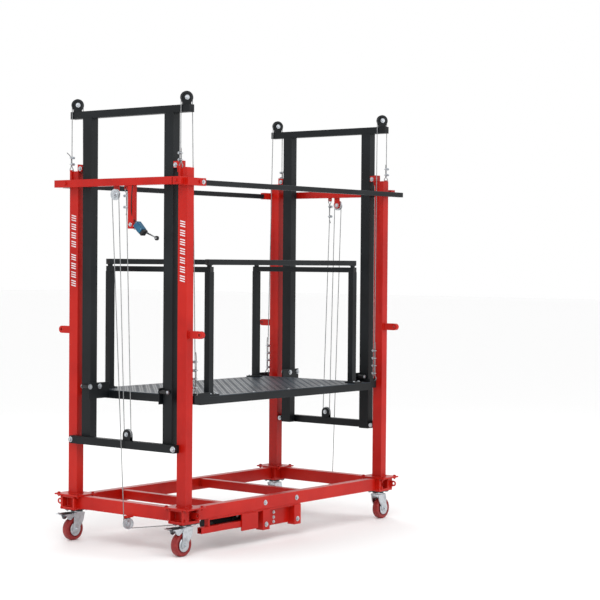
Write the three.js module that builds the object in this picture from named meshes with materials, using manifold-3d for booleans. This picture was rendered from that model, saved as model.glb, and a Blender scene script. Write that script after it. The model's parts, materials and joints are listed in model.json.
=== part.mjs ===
// Electric wire-rope lifting scaffold: a work platform bench on four swivel casters.
// Millimetres, +Z up. X runs along the platform, Y across it, origin on the floor under the middle.
// "left" is -X, "right" is +X, "front" is -Y, "back" is +Y. Drawn partly raised, as it is at rest.
import * as THREE from "three";
import { mergeVertices } from "three/addons/utils/BufferGeometryUtils.js";
import Module from "manifold-3d";

const wasm = await Module();
wasm.setup();

// Column grid and steel sections
const GRID_X = 870;
const GRID_Y = 405;
const COLUMN_X = 50;
const COLUMN_Y = 65;
const COLUMN_TOP = 2032;
const WALL = 4;
const MAST_Y = 303;
const MAST_BOTTOM = 541;
const BEAM = 40;
const BEAM_TOP = 2360;
const BEAM_HALF = 440;
const BAR_HALF = 390;
const BAR_X = 916;

// Base
const BASE_BOTTOM = 180;
const BASE_TOP = 250;
const BASE_RAIL = 50;
const FOOT = { x: 75, y: 90, thick: 8 };
const BLOCK = { x: 65, y: 52 };
const END_RAIL_X = 880;
const CROSS_X = [-525, 150];

// Top rails
const RAIL = 40;
const RAIL_X = 940;
const RAIL_TOP = 1983;
const LONG = 28;
const LONG_Y = 455;
const LONG_TOP = 1969;
const LONG_START = 785;
const REACH_X = 1006;

// Platform
const DECK_X = 760;
const DECK_Y = 420;
const DECK_BOTTOM = 785;
const DECK_TOP = 830;
const PLATE = 4;
const GUARD_LEFT = -645;
const GUARD_RIGHT = 632;
const GUARD_Y = 371;
const GUARD = 30;
const GUARD_POST = 36;
const GUARD_END_TOP = 1515;
const GUARD_TOP = 1555;
const GUARD_FOOT = { x: 34, y: 26, thick: 8 };
const ARM = { y: 262, top: 876, pin: 855 };
const EYE_X = 812;
const EYE_Y = { outer: 426, inner: 405 };
const EYE_Z = 856;

// Ropes and sheaves
const ROPE = 2.5;
const TOP_SHEAVE = { pitch: 30.2, rim: 34, z: 2397 };
const HOIST_SHEAVE = { pitch: 25, rim: 30 };
const ROPE_DX = 25;
const ROPE_DY = 17;
const PIN = 8;
const GAP = 0.3;
const SLACK = 0.9;
const FIXED = { x: -948, z: 1897 };
const MOVING = { x: -916, y: -36, z: 616 };
const BASE_SHEAVE = { x: -923, z: 140 };
const HOIST = { left: { fixed: 34, base: -50 }, right: { fixed: 18, base: -4 } };
const DEAD_END = { y: -32, z: 1850 };

// Winch
const DRUM = { x: -370, z: 150, pitch: 45, rim: 60, front: -306, back: -190 };
const MOTOR = { y: -350, z: 135, r: 39, left: -640, right: -446 };

// Limit switch at the left end
const HANGER = { x: -940, y: -84, low: 1714 };
const SWITCH = { low: 1690, high: 1762, back: -103, front: -150, x0: -958, x1: -922 };
const LEVER = { y: -130, z: 1706, tipY: -238, tipZ: 1664 };

// Casters
const CASTER_X = 862;
const TRAIL = 30;
const WHEEL = { r: 62.5, half: 20 };
const PLATE_BOTTOM = 166;

const paint = (color, roughness, metalness) =>
  new THREE.MeshStandardMaterial({ color, roughness, metalness });
const RED = paint(0xb81a14, 0.38, 0.15);
const BLACK = paint(0x23272b, 0.5, 0.2);
const TREAD = paint(0x4c5863, 0.5, 0.35);
const ZINC = paint(0xb9bfc4, 0.35, 0.85);
const STEEL = paint(0x9a9fa3, 0.4, 0.9);
const URETHANE = paint(0x8c1f22, 0.45, 0.0);
const BLUE = paint(0x2f7fa8, 0.45, 0.05);
const RUBBER = paint(0x151617, 0.7, 0.0);

function solid(geometry) {
  const g = geometry.clone();
  g.deleteAttribute("normal");
  g.deleteAttribute("uv");
  const m = mergeVertices(g, 1e-4);
  const p = m.attributes.position.array;
  const t = new Uint32Array(m.index.array);
  let volume = 0;
  for (let i = 0; i < t.length; i += 3) {
    const [a, b, c] = [0, 1, 2].map((k) => new THREE.Vector3().fromArray(p, 3 * t[i + k]));
    volume += a.dot(b.cross(c));
  }
  if (volume < 0) for (let i = 0; i < t.length; i += 3) [t[i], t[i + 1]] = [t[i + 1], t[i]];
  const vertProperties = new Float32Array(p);
  return new wasm.Manifold(new wasm.Mesh({ numProp: 3, vertProperties, triVerts: t }));
}

function geometryOf(body) {
  const m = body.getMesh();
  const g = new THREE.BufferGeometry();
  g.setAttribute("position", new THREE.BufferAttribute(new Float32Array(m.vertProperties), 3));
  g.setIndex(new THREE.BufferAttribute(new Uint32Array(m.triVerts), 1));
  return g;
}

const moved = (body, matrix) => solid(geometryOf(body).applyMatrix4(matrix));
const join = (...parts) => parts.reduce((a, b) => a.add(b));
const cut = (body, ...tools) => tools.reduce((a, b) => a.subtract(b), body);

function box(x0, x1, y0, y1, z0, z1) {
  const g = new THREE.BoxGeometry(Math.abs(x1 - x0), Math.abs(y1 - y0), Math.abs(z1 - z0));
  return solid(g.translate((x0 + x1) / 2, (y0 + y1) / 2, (z0 + z1) / 2));
}

// A straight round bar from one point to another.
function rod(from, to, r, sides = 10) {
  const a = new THREE.Vector3(...from);
  const d = new THREE.Vector3(...to).sub(a);
  const g = new THREE.CylinderGeometry(r, r, d.length(), sides).translate(0, d.length() / 2, 0);
  const turn = new THREE.Quaternion().setFromUnitVectors(new THREE.Vector3(0, 1, 0), d.normalize());
  return solid(g.applyQuaternion(turn).translate(...from));
}

// A turned piece: [radius, along] outline about an axis through a point.
function turned(outline, centre, axis, sides = 24) {
  const g = new THREE.LatheGeometry(outline.map((q) => new THREE.Vector2(...q)), sides);
  const along = new THREE.Vector3(...axis).normalize();
  const turn = new THREE.Quaternion().setFromUnitVectors(new THREE.Vector3(0, 1, 0), along);
  return solid(g.applyQuaternion(turn).translate(...centre));
}

// A grooved rope wheel with a bore for its pin.
function sheave({ pitch, rim }, centre, axis, half = 7) {
  const floor = pitch - ROPE - SLACK;
  const bore = PIN + GAP;
  const outline = [
    [bore, -half], [rim, -half], [rim, -half + 1.5], [floor, -ROPE - GAP * 2], [floor, ROPE + GAP * 2],
    [rim, half - 1.5], [rim, half], [bore, half], [bore, -half],
  ];
  return turned(outline, centre, axis, 18);
}

// A path that steps from point to point, so straight runs take one section each.
class Chain extends THREE.Curve {
  constructor(points) {
    super();
    this.points = points;
  }
  getPointAt(t) {
    return this.points[Math.round(t * (this.points.length - 1))].clone();
  }
  getTangentAt(t) {
    const k = Math.round(t * (this.points.length - 1));
    const before = this.points[Math.max(0, k - 1)];
    const after = this.points[Math.min(this.points.length - 1, k + 1)];
    return after.clone().sub(before).normalize();
  }
}

function rope(points, r = ROPE) {
  const ring = new THREE.Shape();
  ring.absarc(0, 0, r, 0, Math.PI * 2);
  const settings = { steps: points.length - 1, extrudePath: new Chain(points), curveSegments: 4 };
  return solid(new THREE.ExtrudeGeometry(ring, settings));
}

// Points round a circle in the plane of two unit directions.
function arc(centre, u, v, r, from, to, count) {
  const out = [];
  for (let i = 0; i <= count; i++) {
    const a = from + ((to - from) * i) / count;
    const p = new THREE.Vector3(...centre);
    p.addScaledVector(u, r * Math.cos(a)).addScaledVector(v, r * Math.sin(a));
    out.push(p);
  }
  return out;
}

const root = new THREE.Group();
root.name = "work_platform_bench";

function place(name, body, material) {
  const g = geometryOf(body);
  g.computeVertexNormals();
  const mesh = new THREE.Mesh(g, material);
  mesh.name = name;
  root.add(mesh);
}

// The right-hand end is the left-hand end turned half way round about Z.
const HALF_TURN = new THREE.Matrix4().makeScale(-1, -1, 1);
const facing = (side, body) => (side === "left" ? body : moved(body, HALF_TURN));
const at = (x, y, z) => new THREE.Vector3(x, y, z);

// Rectangular tube, open at both ends of its long axis.
function tube(x0, x1, y0, y1, z0, z1, axis, wall = WALL) {
  const w = ["x", "y", "z"].map((a) => (a === axis ? -1 : wall));
  const bore = box(x0 + w[0], x1 - w[0], y0 + w[1], y1 - w[1], z0 + w[2], z1 - w[2]);
  return cut(box(x0, x1, y0, y1, z0, z1), bore);
}

// Cheek plates with a pin through them, rising from or hanging to a level; a sheave on one
// cheek alone is carried on the pin's free end.
function cheeks(centre, angle, width, level, sides = [1, -1], half = 8.2, thick = 4) {
  const [x, y, z] = centre;
  const plates = sides.map((s) => {
    const [near, far] = [s * half, s * (half + thick)].sort((a, b) => a - b);
    const plate = box(-width, width, near, far, Math.min(level, z), Math.max(level, z));
    return join(plate, rod([0, near, z], [0, far, z], width, 12));
  });
  const reach = (s) => s * (sides.includes(s) ? half + thick + 4 : half + 3);
  const body = join(...plates, rod([0, reach(-1), z], [0, reach(1), z], PIN));
  const turn = new THREE.Matrix4().makeRotationZ(THREE.MathUtils.degToRad(angle));
  return moved(body, turn.setPosition(x, y, 0));
}

const boltHead = (from, to, r = 8) => rod(from, to, r, 6);

function cornerBlock(side, way) {
  const y = way * GRID_Y;
  const x = -GRID_X;
  let body = box(x - BLOCK.x, x + BLOCK.x, y - BLOCK.y, y + BLOCK.y, PLATE_BOTTOM + 6, BASE_TOP);
  const endPocket = box(x - BLOCK.x - 1, x - BLOCK.x + 40, y - 40, y + 40, BASE_BOTTOM + 6, 240);
  const outer = y + way * BLOCK.y;
  const sidePocket = box(x - 18, x + 50, outer + way, outer - way * 34, BASE_BOTTOM + 6, 240);
  body = cut(body, endPocket, sidePocket);
  const eyeX = way > 0 ? x - 52 : x + 20;
  const rooted = way > 0 ? 11 : 36;
  const tip = outer + way * 22;
  const eye = join(
    box(eyeX, eyeX + 6, outer - way * rooted, tip, 196, 230),
    rod([eyeX, tip, 213], [eyeX + 6, tip, 213], 17, 16),
  );
  body = join(body, cut(eye, rod([eyeX - 2, tip, 213], [eyeX + 8, tip, 213], 8)));
  const plate = box(-CASTER_X - 50, -CASTER_X + 50, y - 42, y + 42, PLATE_BOTTOM, PLATE_BOTTOM + 7);
  const king = rod([-CASTER_X, y, 150], [-CASTER_X, y, PLATE_BOTTOM + 1], PIN);
  return facing(side, join(body, plate, king));
}

function baseEndRail(side) {
  const { base } = HOIST[side];
  const reach = GRID_Y - BLOCK.y;
  const x = -END_RAIL_X;
  const half = BASE_RAIL / 2;
  const rail = tube(x - half, x + half, -reach, reach, BASE_BOTTOM, BASE_TOP, "y");
  const centre = [BASE_SHEAVE.x, base, BASE_SHEAVE.z];
  const turn = runToDrum(side).angle;
  const cheek = cheeks(centre, turn, 19, BASE_BOTTOM + 2, [1]);
  const bridge = box(x - 62, x - 20, base - 17, base + 17, BASE_BOTTOM - 6, BASE_BOTTOM + 2);
  return facing(side, join(rail, cheek, bridge));
}

function baseLongRail(way) {
  const reach = GRID_X - BLOCK.x;
  const [near, far] = [way * GRID_Y - BASE_RAIL / 2, way * GRID_Y + BASE_RAIL / 2];
  let body = tube(-reach, reach, near, far, BASE_BOTTOM, BASE_TOP, "x");
  if (way < 0) {
    for (const x of [-233, 43]) body = join(body, boltHead([x, near + 1, 215], [x, near - 6, 215]));
  }
  return body;
}

function column(side, way) {
  const y = way * GRID_Y;
  const [x0, x1] = [-GRID_X - COLUMN_X / 2, -GRID_X + COLUMN_X / 2];
  const inner = y - (way * COLUMN_Y) / 2;
  const outer = y + (way * COLUMN_Y) / 2;
  const foot = BASE_TOP + FOOT.thick;
  let body = tube(x0, x1, Math.min(inner, outer), Math.max(inner, outer), foot - 2, COLUMN_TOP, "z");
  body = join(body, box(-GRID_X - FOOT.x, -GRID_X + FOOT.x, y - FOOT.y, y + FOOT.y, BASE_TOP, foot));
  const tip = outer + way * 76;
  const lug = join(
    box(-GRID_X - 12, -GRID_X + 12, outer - way * 2, tip, 1141, 1181),
    rod([-GRID_X - 12, tip, 1161], [-GRID_X + 12, tip, 1161], 20, 16),
  );
  body = join(body, cut(lug, rod([-GRID_X - 14, tip, 1161], [-GRID_X + 14, tip, 1161], 9)));
  return facing(side, join(body, guideBracket(inner, way), railMount(way, outer)));
}

// U bracket at the column top with the roller that bears on the mast post.
function guideBracket(inner, way) {
  const z = 2046;
  const y = inner - way * 18.5;
  const [front, back] = [-GRID_X - 29, -GRID_X + 29];
  const ear = (x) => box(x, x + 4, inner + way, y - way * 14, 2031, z + 20);
  return join(
    box(front, back, inner - way * 4, inner + way, 2008, z + 24),
    ear(front), ear(back - 4),
    rod([front - 5, y, z], [back + 5, y, z], 5, 8),
    rod([front + 6, y, z], [back - 6, y, z], 13, 12),
  );
}

// What the column carries for the top rails and for the dead end of its platform rope.
function railMount(way, outer) {
  const face = -GRID_X - COLUMN_X / 2;
  const inside = -RAIL_X + RAIL / 2;
  const ropeY = way * GRID_Y + ROPE_DY;
  const lug = box(face - 9, face + 8, ropeY - 7, ropeY + 7, 1985, 2040);
  const low = RAIL_TOP - RAIL;
  if (way > 0) {
    const spacer = box(inside, face + 1, outer - 50, outer - 8, low + 2, RAIL_TOP - 2);
    const pad = box(-GRID_X - 20, -GRID_X + 20, outer - 2, LONG_Y - LONG / 2, 1941, 1969);
    return join(lug, spacer, pad);
  }
  const shoe = box(-RAIL_X - 16, face + 1, outer - 4, -386, low, RAIL_TOP);
  const behind = box(inside, face + 1, -387, -374, low, RAIL_TOP);
  const arm = box(-GRID_X - 55, -LONG_START - GAP, -LONG_Y - 14, outer + 1, low - 5, RAIL_TOP - 5);
  let body = join(lug, shoe, behind, arm);
  for (const x of [-835, -805]) {
    body = join(body, boltHead([x, -LONG_Y - 13, 1958], [x, -LONG_Y - 20, 1958], 7));
  }
  return join(body, boltHead([-RAIL_X - 15, -412, 1963], [-RAIL_X - 22, -412, 1963], 7));
}

function topRail(side) {
  const { fixed } = HOIST[side];
  const [x0, x1] = [-RAIL_X - RAIL / 2, -RAIL_X + RAIL / 2];
  const end = side === "left" ? 493 : LONG_Y - LONG / 2 - 0.5;
  const low = RAIL_TOP - RAIL;
  const rail = tube(x0, x1, -384, end, low, RAIL_TOP, "y", 3);
  const bracket = cheeks([FIXED.x, fixed, FIXED.z], 90, 20, low + 2, [-1]);
  const lug = cut(
    box(-RAIL_X + 4, -RAIL_X + 12, DEAD_END.y - 12, DEAD_END.y + 12, 1922, low + 2),
    rod([-RAIL_X, DEAD_END.y, 1932], [-RAIL_X + 14, DEAD_END.y, 1932], 5),
  );
  let body = join(rail, bracket, lug);
  body = join(body, boltHead([x0 + 1, GRID_Y, 1963], [x0 - 6, GRID_Y, 1963]));
  return facing(side, body);
}

function longTopRail(way) {
  const y = LONG_Y;
  const from = way < 0 ? -LONG_START : RAIL / 2 - RAIL_X + GAP;
  const to = way < 0 ? REACH_X : LONG_START;
  return tube(from, to, way * y - LONG / 2, way * y + LONG / 2, LONG_TOP - LONG, LONG_TOP, "x", 3);
}

function switchHanger() {
  const { x, y, low } = HANGER;
  const bar = tube(x - 15, x + 15, y - 19, y + 19, low, RAIL_TOP - RAIL, "z", 3);
  return join(bar, boltHead([x - 14, y, low + 22], [x - 20, y, low + 22], 6));
}

function limitSwitch() {
  const { low, high, back, front, x0, x1 } = SWITCH;
  const boss = rod([HANGER.x, LEVER.y, high - 1], [HANGER.x, LEVER.y, high + 12], 8);
  const shaft = rod([x1 - 1, LEVER.y, LEVER.z], [x1 + 16, LEVER.y, LEVER.z], 5);
  return join(box(x0, x1, front, back, low, high), boss, shaft);
}

function switchLever() {
  const { y, z, tipY, tipZ } = LEVER;
  const x = SWITCH.x1;
  const hub = cut(rod([x + 1, y, z], [x + 14, y, z], 11, 24), rod([x, y, z], [x + 15, y, z], 5.3, 24));
  const arm = rod([x + 8, y - 9, z - 3.5], [x + 8, tipY, tipZ], 3, 12);
  return join(hub, arm, rod([x + 1, tipY, tipZ], [x + 16, tipY, tipZ], 12, 24));
}

function switchCable() {
  const run = [];
  for (let i = 0; i <= 10; i++) {
    const t = i / 10;
    const bow = 14 * Math.sin(Math.PI * t);
    run.push(at(HANGER.x, LEVER.y + 12 * t - bow, SWITCH.high + 13 + t * 167));
  }
  return rope(run, 2.2);
}

// Where a hoist rope leaves its base sheave, and how far that sheave is turned in plan.
function runToDrum(side) {
  const from = at(BASE_SHEAVE.x, HOIST[side].base, BASE_SHEAVE.z);
  const to = side === "left" ? at(DRUM.x, -235, 0) : at(-DRUM.x, 265, 0);
  const u = to.clone().sub(from).setZ(0).normalize();
  return { from, to, u, angle: (Math.atan2(u.y, u.x) * 180) / Math.PI };
}

function hoistRope(side) {
  const { fixed } = HOIST[side];
  const { pitch } = HOIST_SHEAVE;
  const [across, up] = [at(0, 1, 0), at(0, 0, 1)];
  const { from, to, u } = runToDrum(side);
  const low = arc(from.toArray(), u, up, pitch, Math.PI, 1.5 * Math.PI, 4);
  const drum = [to.x, to.y, DRUM.z];
  const wind = side === "left"
    ? arc(drum, at(1, 0, 0), up, DRUM.pitch, -Math.PI / 2, Math.PI, 12)
    : arc(drum, at(1, 0, 0), up, DRUM.pitch, Math.PI / 2, -Math.PI, 12);
  return facing(side, rope([
    at(-RAIL_X + 8, DEAD_END.y, 1921),
    ...arc([MOVING.x, MOVING.y, MOVING.z], across, up, pitch, -Math.PI, 0, 8),
    ...arc([FIXED.x, fixed, FIXED.z], across, up, pitch, Math.PI, 0, 8),
    ...low,
    ...wind,
  ]));
}

function winchCradle() {
  const hanger = (x) => cut(
    box(x, x + 58, -438, -388, 66, 176),
    box(x + 4, x + 54, -434, -392, 60, 168),
  );
  let body = join(
    box(-706, 76, -432, -384, 172, BASE_BOTTOM),
    box(-440, -304, -438, -430, 83, 174),
    hanger(-262), hanger(14),
    box(-206, 16, -400, -394, 78, 176),
    cut(box(-762, -400, -431, -401, 104, 137), box(-763, -450, -428, -404, 107, 134)),
    box(-706, -696, -430, -402, 135, 174),
  );
  for (const x of [-233, 43]) body = join(body, boltHead([x, -437, 96], [x, -444, 96]));
  for (const z of [95, 120, 148]) body = join(body, boltHead([-125, -399, z], [-125, -405, z], 5));
  return body;
}

function winchMotor() {
  const { y, z, r, left, right } = MOTOR;
  return turned([
    [0, left - 12], [r - 8, left - 12], [r - 3, left], [r, left], [r, right - 12],
    [r + 3, right - 12], [r + 3, right], [0, right],
  ], [0, y, z], [1, 0, 0]);
}

function winchGearbox() {
  const front = DRUM.front - 14;
  return join(
    box(MOTOR.right, -303, -400, front, 95, 171),
    rod([DRUM.x, front - 1, DRUM.z], [DRUM.x, front + 12, DRUM.z], 24, 28),
    rod([DRUM.x, front - 1, DRUM.z], [DRUM.x, DRUM.back + 12, DRUM.z], 12, 28),
  );
}

function winchDrum() {
  const { front, back, rim, pitch } = DRUM;
  const barrel = pitch - ROPE - SLACK;
  return turned([
    [12.3, front], [rim, front], [rim, front + 6], [barrel, front + 6], [barrel, back - 6],
    [rim, back - 6], [rim, back], [12.3, back], [12.3, front],
  ], [DRUM.x, 0, DRUM.z], [0, 1, 0], 28);
}

function mastFrame(side) {
  const [x0, x1] = [-GRID_X - COLUMN_X / 2, -GRID_X + COLUMN_X / 2];
  const half = BEAM / 2;
  const under = BEAM_TOP - BEAM;
  const beam = tube(-GRID_X - half, -GRID_X + half, -BEAM_HALF, BEAM_HALF, under, BEAM_TOP, "y");
  const foot = MAST_BOTTOM + 42;
  const bar = tube(-BAR_X - 20, -BAR_X + 19, -BAR_HALF, BAR_HALF, MAST_BOTTOM, foot, "y", 3);
  let body = join(beam, bar, cheeks([MOVING.x, MOVING.y, MOVING.z], 90, 26, foot - 2));
  const lean = (Math.atan2(-ROPE_DY, ROPE_DX) * 180) / Math.PI;
  for (const s of [-1, 1]) {
    const [y0, y1] = [s * MAST_Y - COLUMN_Y / 2, s * MAST_Y + COLUMN_Y / 2];
    const post = tube(x0, x1, y0, y1, MAST_BOTTOM, under + 2, "z");
    const pad = box(-BAR_X + 17, x0 + 2, y0 + 5, y1 - 5, MAST_BOTTOM + 4, foot - 4);
    const y = s * (MAST_Y + COLUMN_Y / 2 + 18.5);
    const z = MAST_BOTTOM + 21;
    const pin = rod([-BAR_X + 17, y, z], [x1 - 2, y, z], 5, 8);
    const roller = rod([x0 + 3, y, z], [x1 - 4, y, z], 13.5, 12);
    const bolt = boltHead([-BAR_X - 19, s * 382, z], [-BAR_X - 30, s * 382, z], 9);
    const pair = cheeks([-GRID_X, s * GRID_Y, TOP_SHEAVE.z], lean, 22, BEAM_TOP - 2);
    body = join(body, post, pad, pin, roller, bolt, pair);
  }
  return facing(side, body);
}

// The tread plate, notched at its four corners for the guard's feet.
function deckPlate() {
  const notches = [];
  for (const x of [GUARD_LEFT, GUARD_RIGHT]) {
    for (const s of [-1, 1]) {
      const [near, far] = [s * (GUARD_Y - GUARD_FOOT.y - 1), s * (DECK_Y + 5)];
      notches.push(box(
        x - GUARD_FOOT.x - 1, x + GUARD_FOOT.x + 1, Math.min(near, far), Math.max(near, far),
        DECK_TOP - PLATE - 2, DECK_TOP + 2,
      ));
    }
  }
  const half = { x: DECK_X - 1, y: DECK_Y - 1 };
  return cut(box(-half.x, half.x, -half.y, half.y, DECK_TOP - PLATE, DECK_TOP), ...notches);
}

function deckFrame() {
  const z1 = DECK_TOP - PLATE;
  let body = cut(
    box(-DECK_X, DECK_X, -DECK_Y, DECK_Y, DECK_BOTTOM, z1),
    box(-DECK_X + 32, DECK_X - 32, -DECK_Y + 32, DECK_Y - 32, 0, 2000),
    box(-DECK_X + 4, DECK_X - 4, -DECK_Y + 4, DECK_Y - 4, DECK_BOTTOM + 4, z1 - 4),
  );
  for (const x of [-456, -152, 152, 456]) {
    body = join(body, box(x - 3, x + 3, -DECK_Y + 2, DECK_Y - 2, DECK_BOTTOM + 2, z1 - 2));
  }
  for (const side of ["left", "right"]) body = join(body, facing(side, deckEnd()));
  return body;
}

// Guide arms that hold rollers round the mast posts, and the eyes the ropes are made fast to.
function deckEnd() {
  const parts = [];
  for (const s of [-1, 1]) {
    const [y0, y1] = [s * (ARM.y - 3), s * (ARM.y + 3)];
    parts.push(box(-GRID_X - 46, -DECK_X, y0, y1, DECK_BOTTOM + 4, ARM.top));
    parts.push(box(-DECK_X - 1, -DECK_X + 3, y0, y1, DECK_BOTTOM + 4, DECK_TOP - 8));
    for (const x of [-GRID_X - 36.5, -GRID_X + 36.5]) {
      parts.push(rod([x, s * (ARM.y - 9), ARM.pin], [x, s * 318, ARM.pin], 9));
    }
  }
  const eye = (y, inboard) => cut(
    box(-EYE_X - 12, inboard, y - 6, y + 6, 795, 850),
    rod([-EYE_X, y - 8, 838], [-EYE_X, y + 8, 838], 6),
  );
  parts.push(eye(-EYE_Y.outer, -700), box(-DECK_X, -700, -DECK_Y - 2, -DECK_Y + 3, 795, 820));
  parts.push(eye(EYE_Y.inner, -DECK_X), box(-DECK_X - 1, -DECK_X + 3, 399, 411, 795, 820));
  return join(...parts);
}

function guardEnd(x) {
  const h = GUARD / 2;
  const p = GUARD_POST / 2;
  const under = GUARD_END_TOP - GUARD;
  let body = tube(x - h, x + h, -GUARD_Y - p, GUARD_Y + p, under, GUARD_END_TOP, "y", 3);
  for (const s of [-1, 1]) {
    const y = s * GUARD_Y;
    const post = box(x - p, x + p, y - p, y + p, DECK_TOP, under + 2);
    const [near, far] = [y - s * GUARD_FOOT.y, s * (DECK_Y - 1)].sort((a, b) => a - b);
    const foot = box(
      x - GUARD_FOOT.x, x + GUARD_FOOT.x, near, far, DECK_TOP - PLATE, DECK_TOP + GUARD_FOOT.thick,
    );
    const bore = box(x - p + 3, x + p - 3, y - p + 3, y + p - 3, DECK_TOP - PLATE - 1, under);
    body = join(body, cut(join(post, foot), bore));
  }
  return body;
}

function guardRail(way) {
  const h = GUARD / 2;
  const y = way * GUARD_Y;
  const low = GUARD_TOP - GUARD;
  const p = GUARD_POST / 2;
  let body = tube(GUARD_LEFT - p, GUARD_RIGHT + p, y - h, y + h, low, GUARD_TOP, "x", 3);
  for (const x of [GUARD_LEFT, GUARD_RIGHT]) {
    body = join(body, box(x - 10, x + 10, y - 10, y + 10, GUARD_END_TOP, low + 2));
  }
  return body;
}

function platformRope(side, way) {
  const u = at(-ROPE_DX, ROPE_DY, 0);
  const pitch = u.length();
  u.normalize();
  const centre = [-GRID_X, way * GRID_Y, TOP_SHEAVE.z];
  const over = arc(centre, u, at(0, 0, 1), pitch, 0, Math.PI, 8);
  const eyeY = way < 0 ? -EYE_Y.outer : EYE_Y.inner;
  const anchor = at(over[0].x, over[0].y, 2041);
  return facing(side, rope([anchor, ...over, at(-EYE_X, eyeY, EYE_Z)]));
}

function topSheave(side, way) {
  const centre = [-GRID_X, way * GRID_Y, TOP_SHEAVE.z];
  return facing(side, sheave(TOP_SHEAVE, centre, [ROPE_DY, ROPE_DX, 0]));
}

// A caster at rest trails outward, away from the middle of the machine.
function casterFork(sx, sy) {
  const axle = WHEEL.r;
  const leg = (y) => {
    const outline = new THREE.Shape();
    outline.moveTo(-34, 152).lineTo(30, 152).lineTo(26, 132).lineTo(-TRAIL + 15, axle)
      .lineTo(-TRAIL - 15, axle).lineTo(-40, 130);
    outline.closePath();
    const g = new THREE.ExtrudeGeometry(outline, { depth: 4, bevelEnabled: false });
    const plate = solid(g.rotateX(Math.PI / 2).translate(0, y + 4, 0));
    return join(plate, rod([-TRAIL, y, axle], [-TRAIL, y + 4, axle], 15));
  };
  let body = join(
    box(-33, 30, -29, 29, 146, 152),
    rod([0, 0, 150], [0, 0, 165], 31, 20),
    leg(WHEEL.half + 5), leg(-WHEEL.half - 9),
    rod([-TRAIL, -35, axle], [-TRAIL, 35, axle], 6, 10),
  );
  if (sx < 0) body = join(body, rod([-41, -24, 148], [-41, 24, 148], 4), lugs());
  body = cut(body, rod([0, 0, 140], [0, 0, 170], PIN + GAP, 16));
  return set(body, sx, sy);
}

const lugs = () => join(box(-44, -33, -27, -22, 143, 152), box(-44, -33, 22, 27, 143, 152));

function set(body, sx, sy) {
  const turn = new THREE.Matrix4().makeScale(-sx, -sx, 1);
  return moved(body, turn.setPosition(sx * CASTER_X, sy * GRID_Y, 0));
}

function casterWheel(sx, sy) {
  const { r, half } = WHEEL;
  const body = turned([
    [6.3, -half - 3], [20, -half - 3], [20, -half + 3], [r - 4, -half], [r, 0],
    [r - 4, half], [20, half - 3], [20, half + 3], [6.3, half + 3], [6.3, -half - 3],
  ], [-TRAIL, 0, r], [0, 1, 0]);
  return set(body, sx, sy);
}

function brakePedal(sy) {
  const outline = new THREE.Shape();
  outline.moveTo(-47, 151).lineTo(-100, 151).lineTo(-140, 156).lineTo(-144, 153)
    .lineTo(-102, 146).lineTo(-47, 146);
  outline.closePath();
  const g = new THREE.ExtrudeGeometry(outline, { depth: 40, bevelEnabled: false });
  const plate = solid(g.rotateX(Math.PI / 2).translate(0, 20, 0));
  const hub = rod([-41, -21, 148], [-41, 21, 148], 6.5, 16);
  const neck = box(-50, -44, -20, 20, 145, 151);
  const body = cut(join(plate, neck, hub), rod([-41, -25, 148], [-41, 25, 148], 4.3, 16));
  return set(body, -1, sy);
}

const WAYS = { front: -1, back: 1 };
for (const [end, way] of Object.entries(WAYS)) {
  place(`base_rail_${end}`, baseLongRail(way), RED);
  place(`top_long_rail_${end}`, longTopRail(way), BLACK);
  place(`guard_rail_${end}`, guardRail(way), BLACK);
  place(`brake_pedal_${end}`, brakePedal(way), ZINC);
}
for (const [i, side] of ["left", "right"].entries()) {
  const sx = side === "left" ? -1 : 1;
  const reach = GRID_Y - BASE_RAIL / 2;
  place(`base_end_rail_${side}`, baseEndRail(side), RED);
  const [x0, x1] = [CROSS_X[i] - 20, CROSS_X[i] + 20];
  place(`cross_member_${side}`, tube(x0, x1, -reach, reach, 195, 245, "y"), RED);
  place(`top_rail_${side}`, topRail(side), RED);
  place(`mast_frame_${side}`, mastFrame(side), BLACK);
  place(`hoist_rope_${side}`, hoistRope(side), STEEL);
  const { fixed } = HOIST[side];
  const run = runToDrum(side);
  const across = [run.u.y, -run.u.x, 0];
  const wheel = (centre, axis) => facing(side, sheave(HOIST_SHEAVE, centre, axis));
  place(`fixed_sheave_${side}`, wheel([FIXED.x, fixed, FIXED.z], [1, 0, 0]), ZINC);
  place(`moving_sheave_${side}`, wheel([MOVING.x, MOVING.y, MOVING.z], [1, 0, 0]), STEEL);
  place(`base_sheave_${side}`, wheel(run.from.toArray(), across), ZINC);
  for (const [end, way] of Object.entries(WAYS)) {
    const inEnd = side === "left" ? way : -way;
    place(`corner_block_${side}_${end}`, cornerBlock(side, inEnd), RED);
    place(`column_${side}_${end}`, column(side, inEnd), RED);
    place(`top_sheave_${side}_${end}`, topSheave(side, inEnd), BLACK);
    place(`platform_rope_${side}_${end}`, platformRope(side, inEnd), STEEL);
    place(`caster_fork_${side}_${end}`, casterFork(sx, way), ZINC);
    place(`caster_wheel_${side}_${end}`, casterWheel(sx, way), URETHANE);
  }
}
place("switch_hanger", switchHanger(), RED);
place("limit_switch", limitSwitch(), BLUE);
place("limit_switch_lever", switchLever(), STEEL);
place("switch_cable", switchCable(), RUBBER);
place("winch_cradle", winchCradle(), RED);
place("winch_motor", winchMotor(), BLACK);
place("winch_gearbox", winchGearbox(), BLACK);
place("winch_drum", winchDrum(), STEEL);
place("deck_frame", deckFrame(), BLACK);
place("deck_plate", deckPlate(), TREAD);
place("guard_end_left", guardEnd(GUARD_LEFT), BLACK);
place("guard_end_right", guardEnd(GUARD_RIGHT), BLACK);

export default root;
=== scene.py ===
import json
import math

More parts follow.
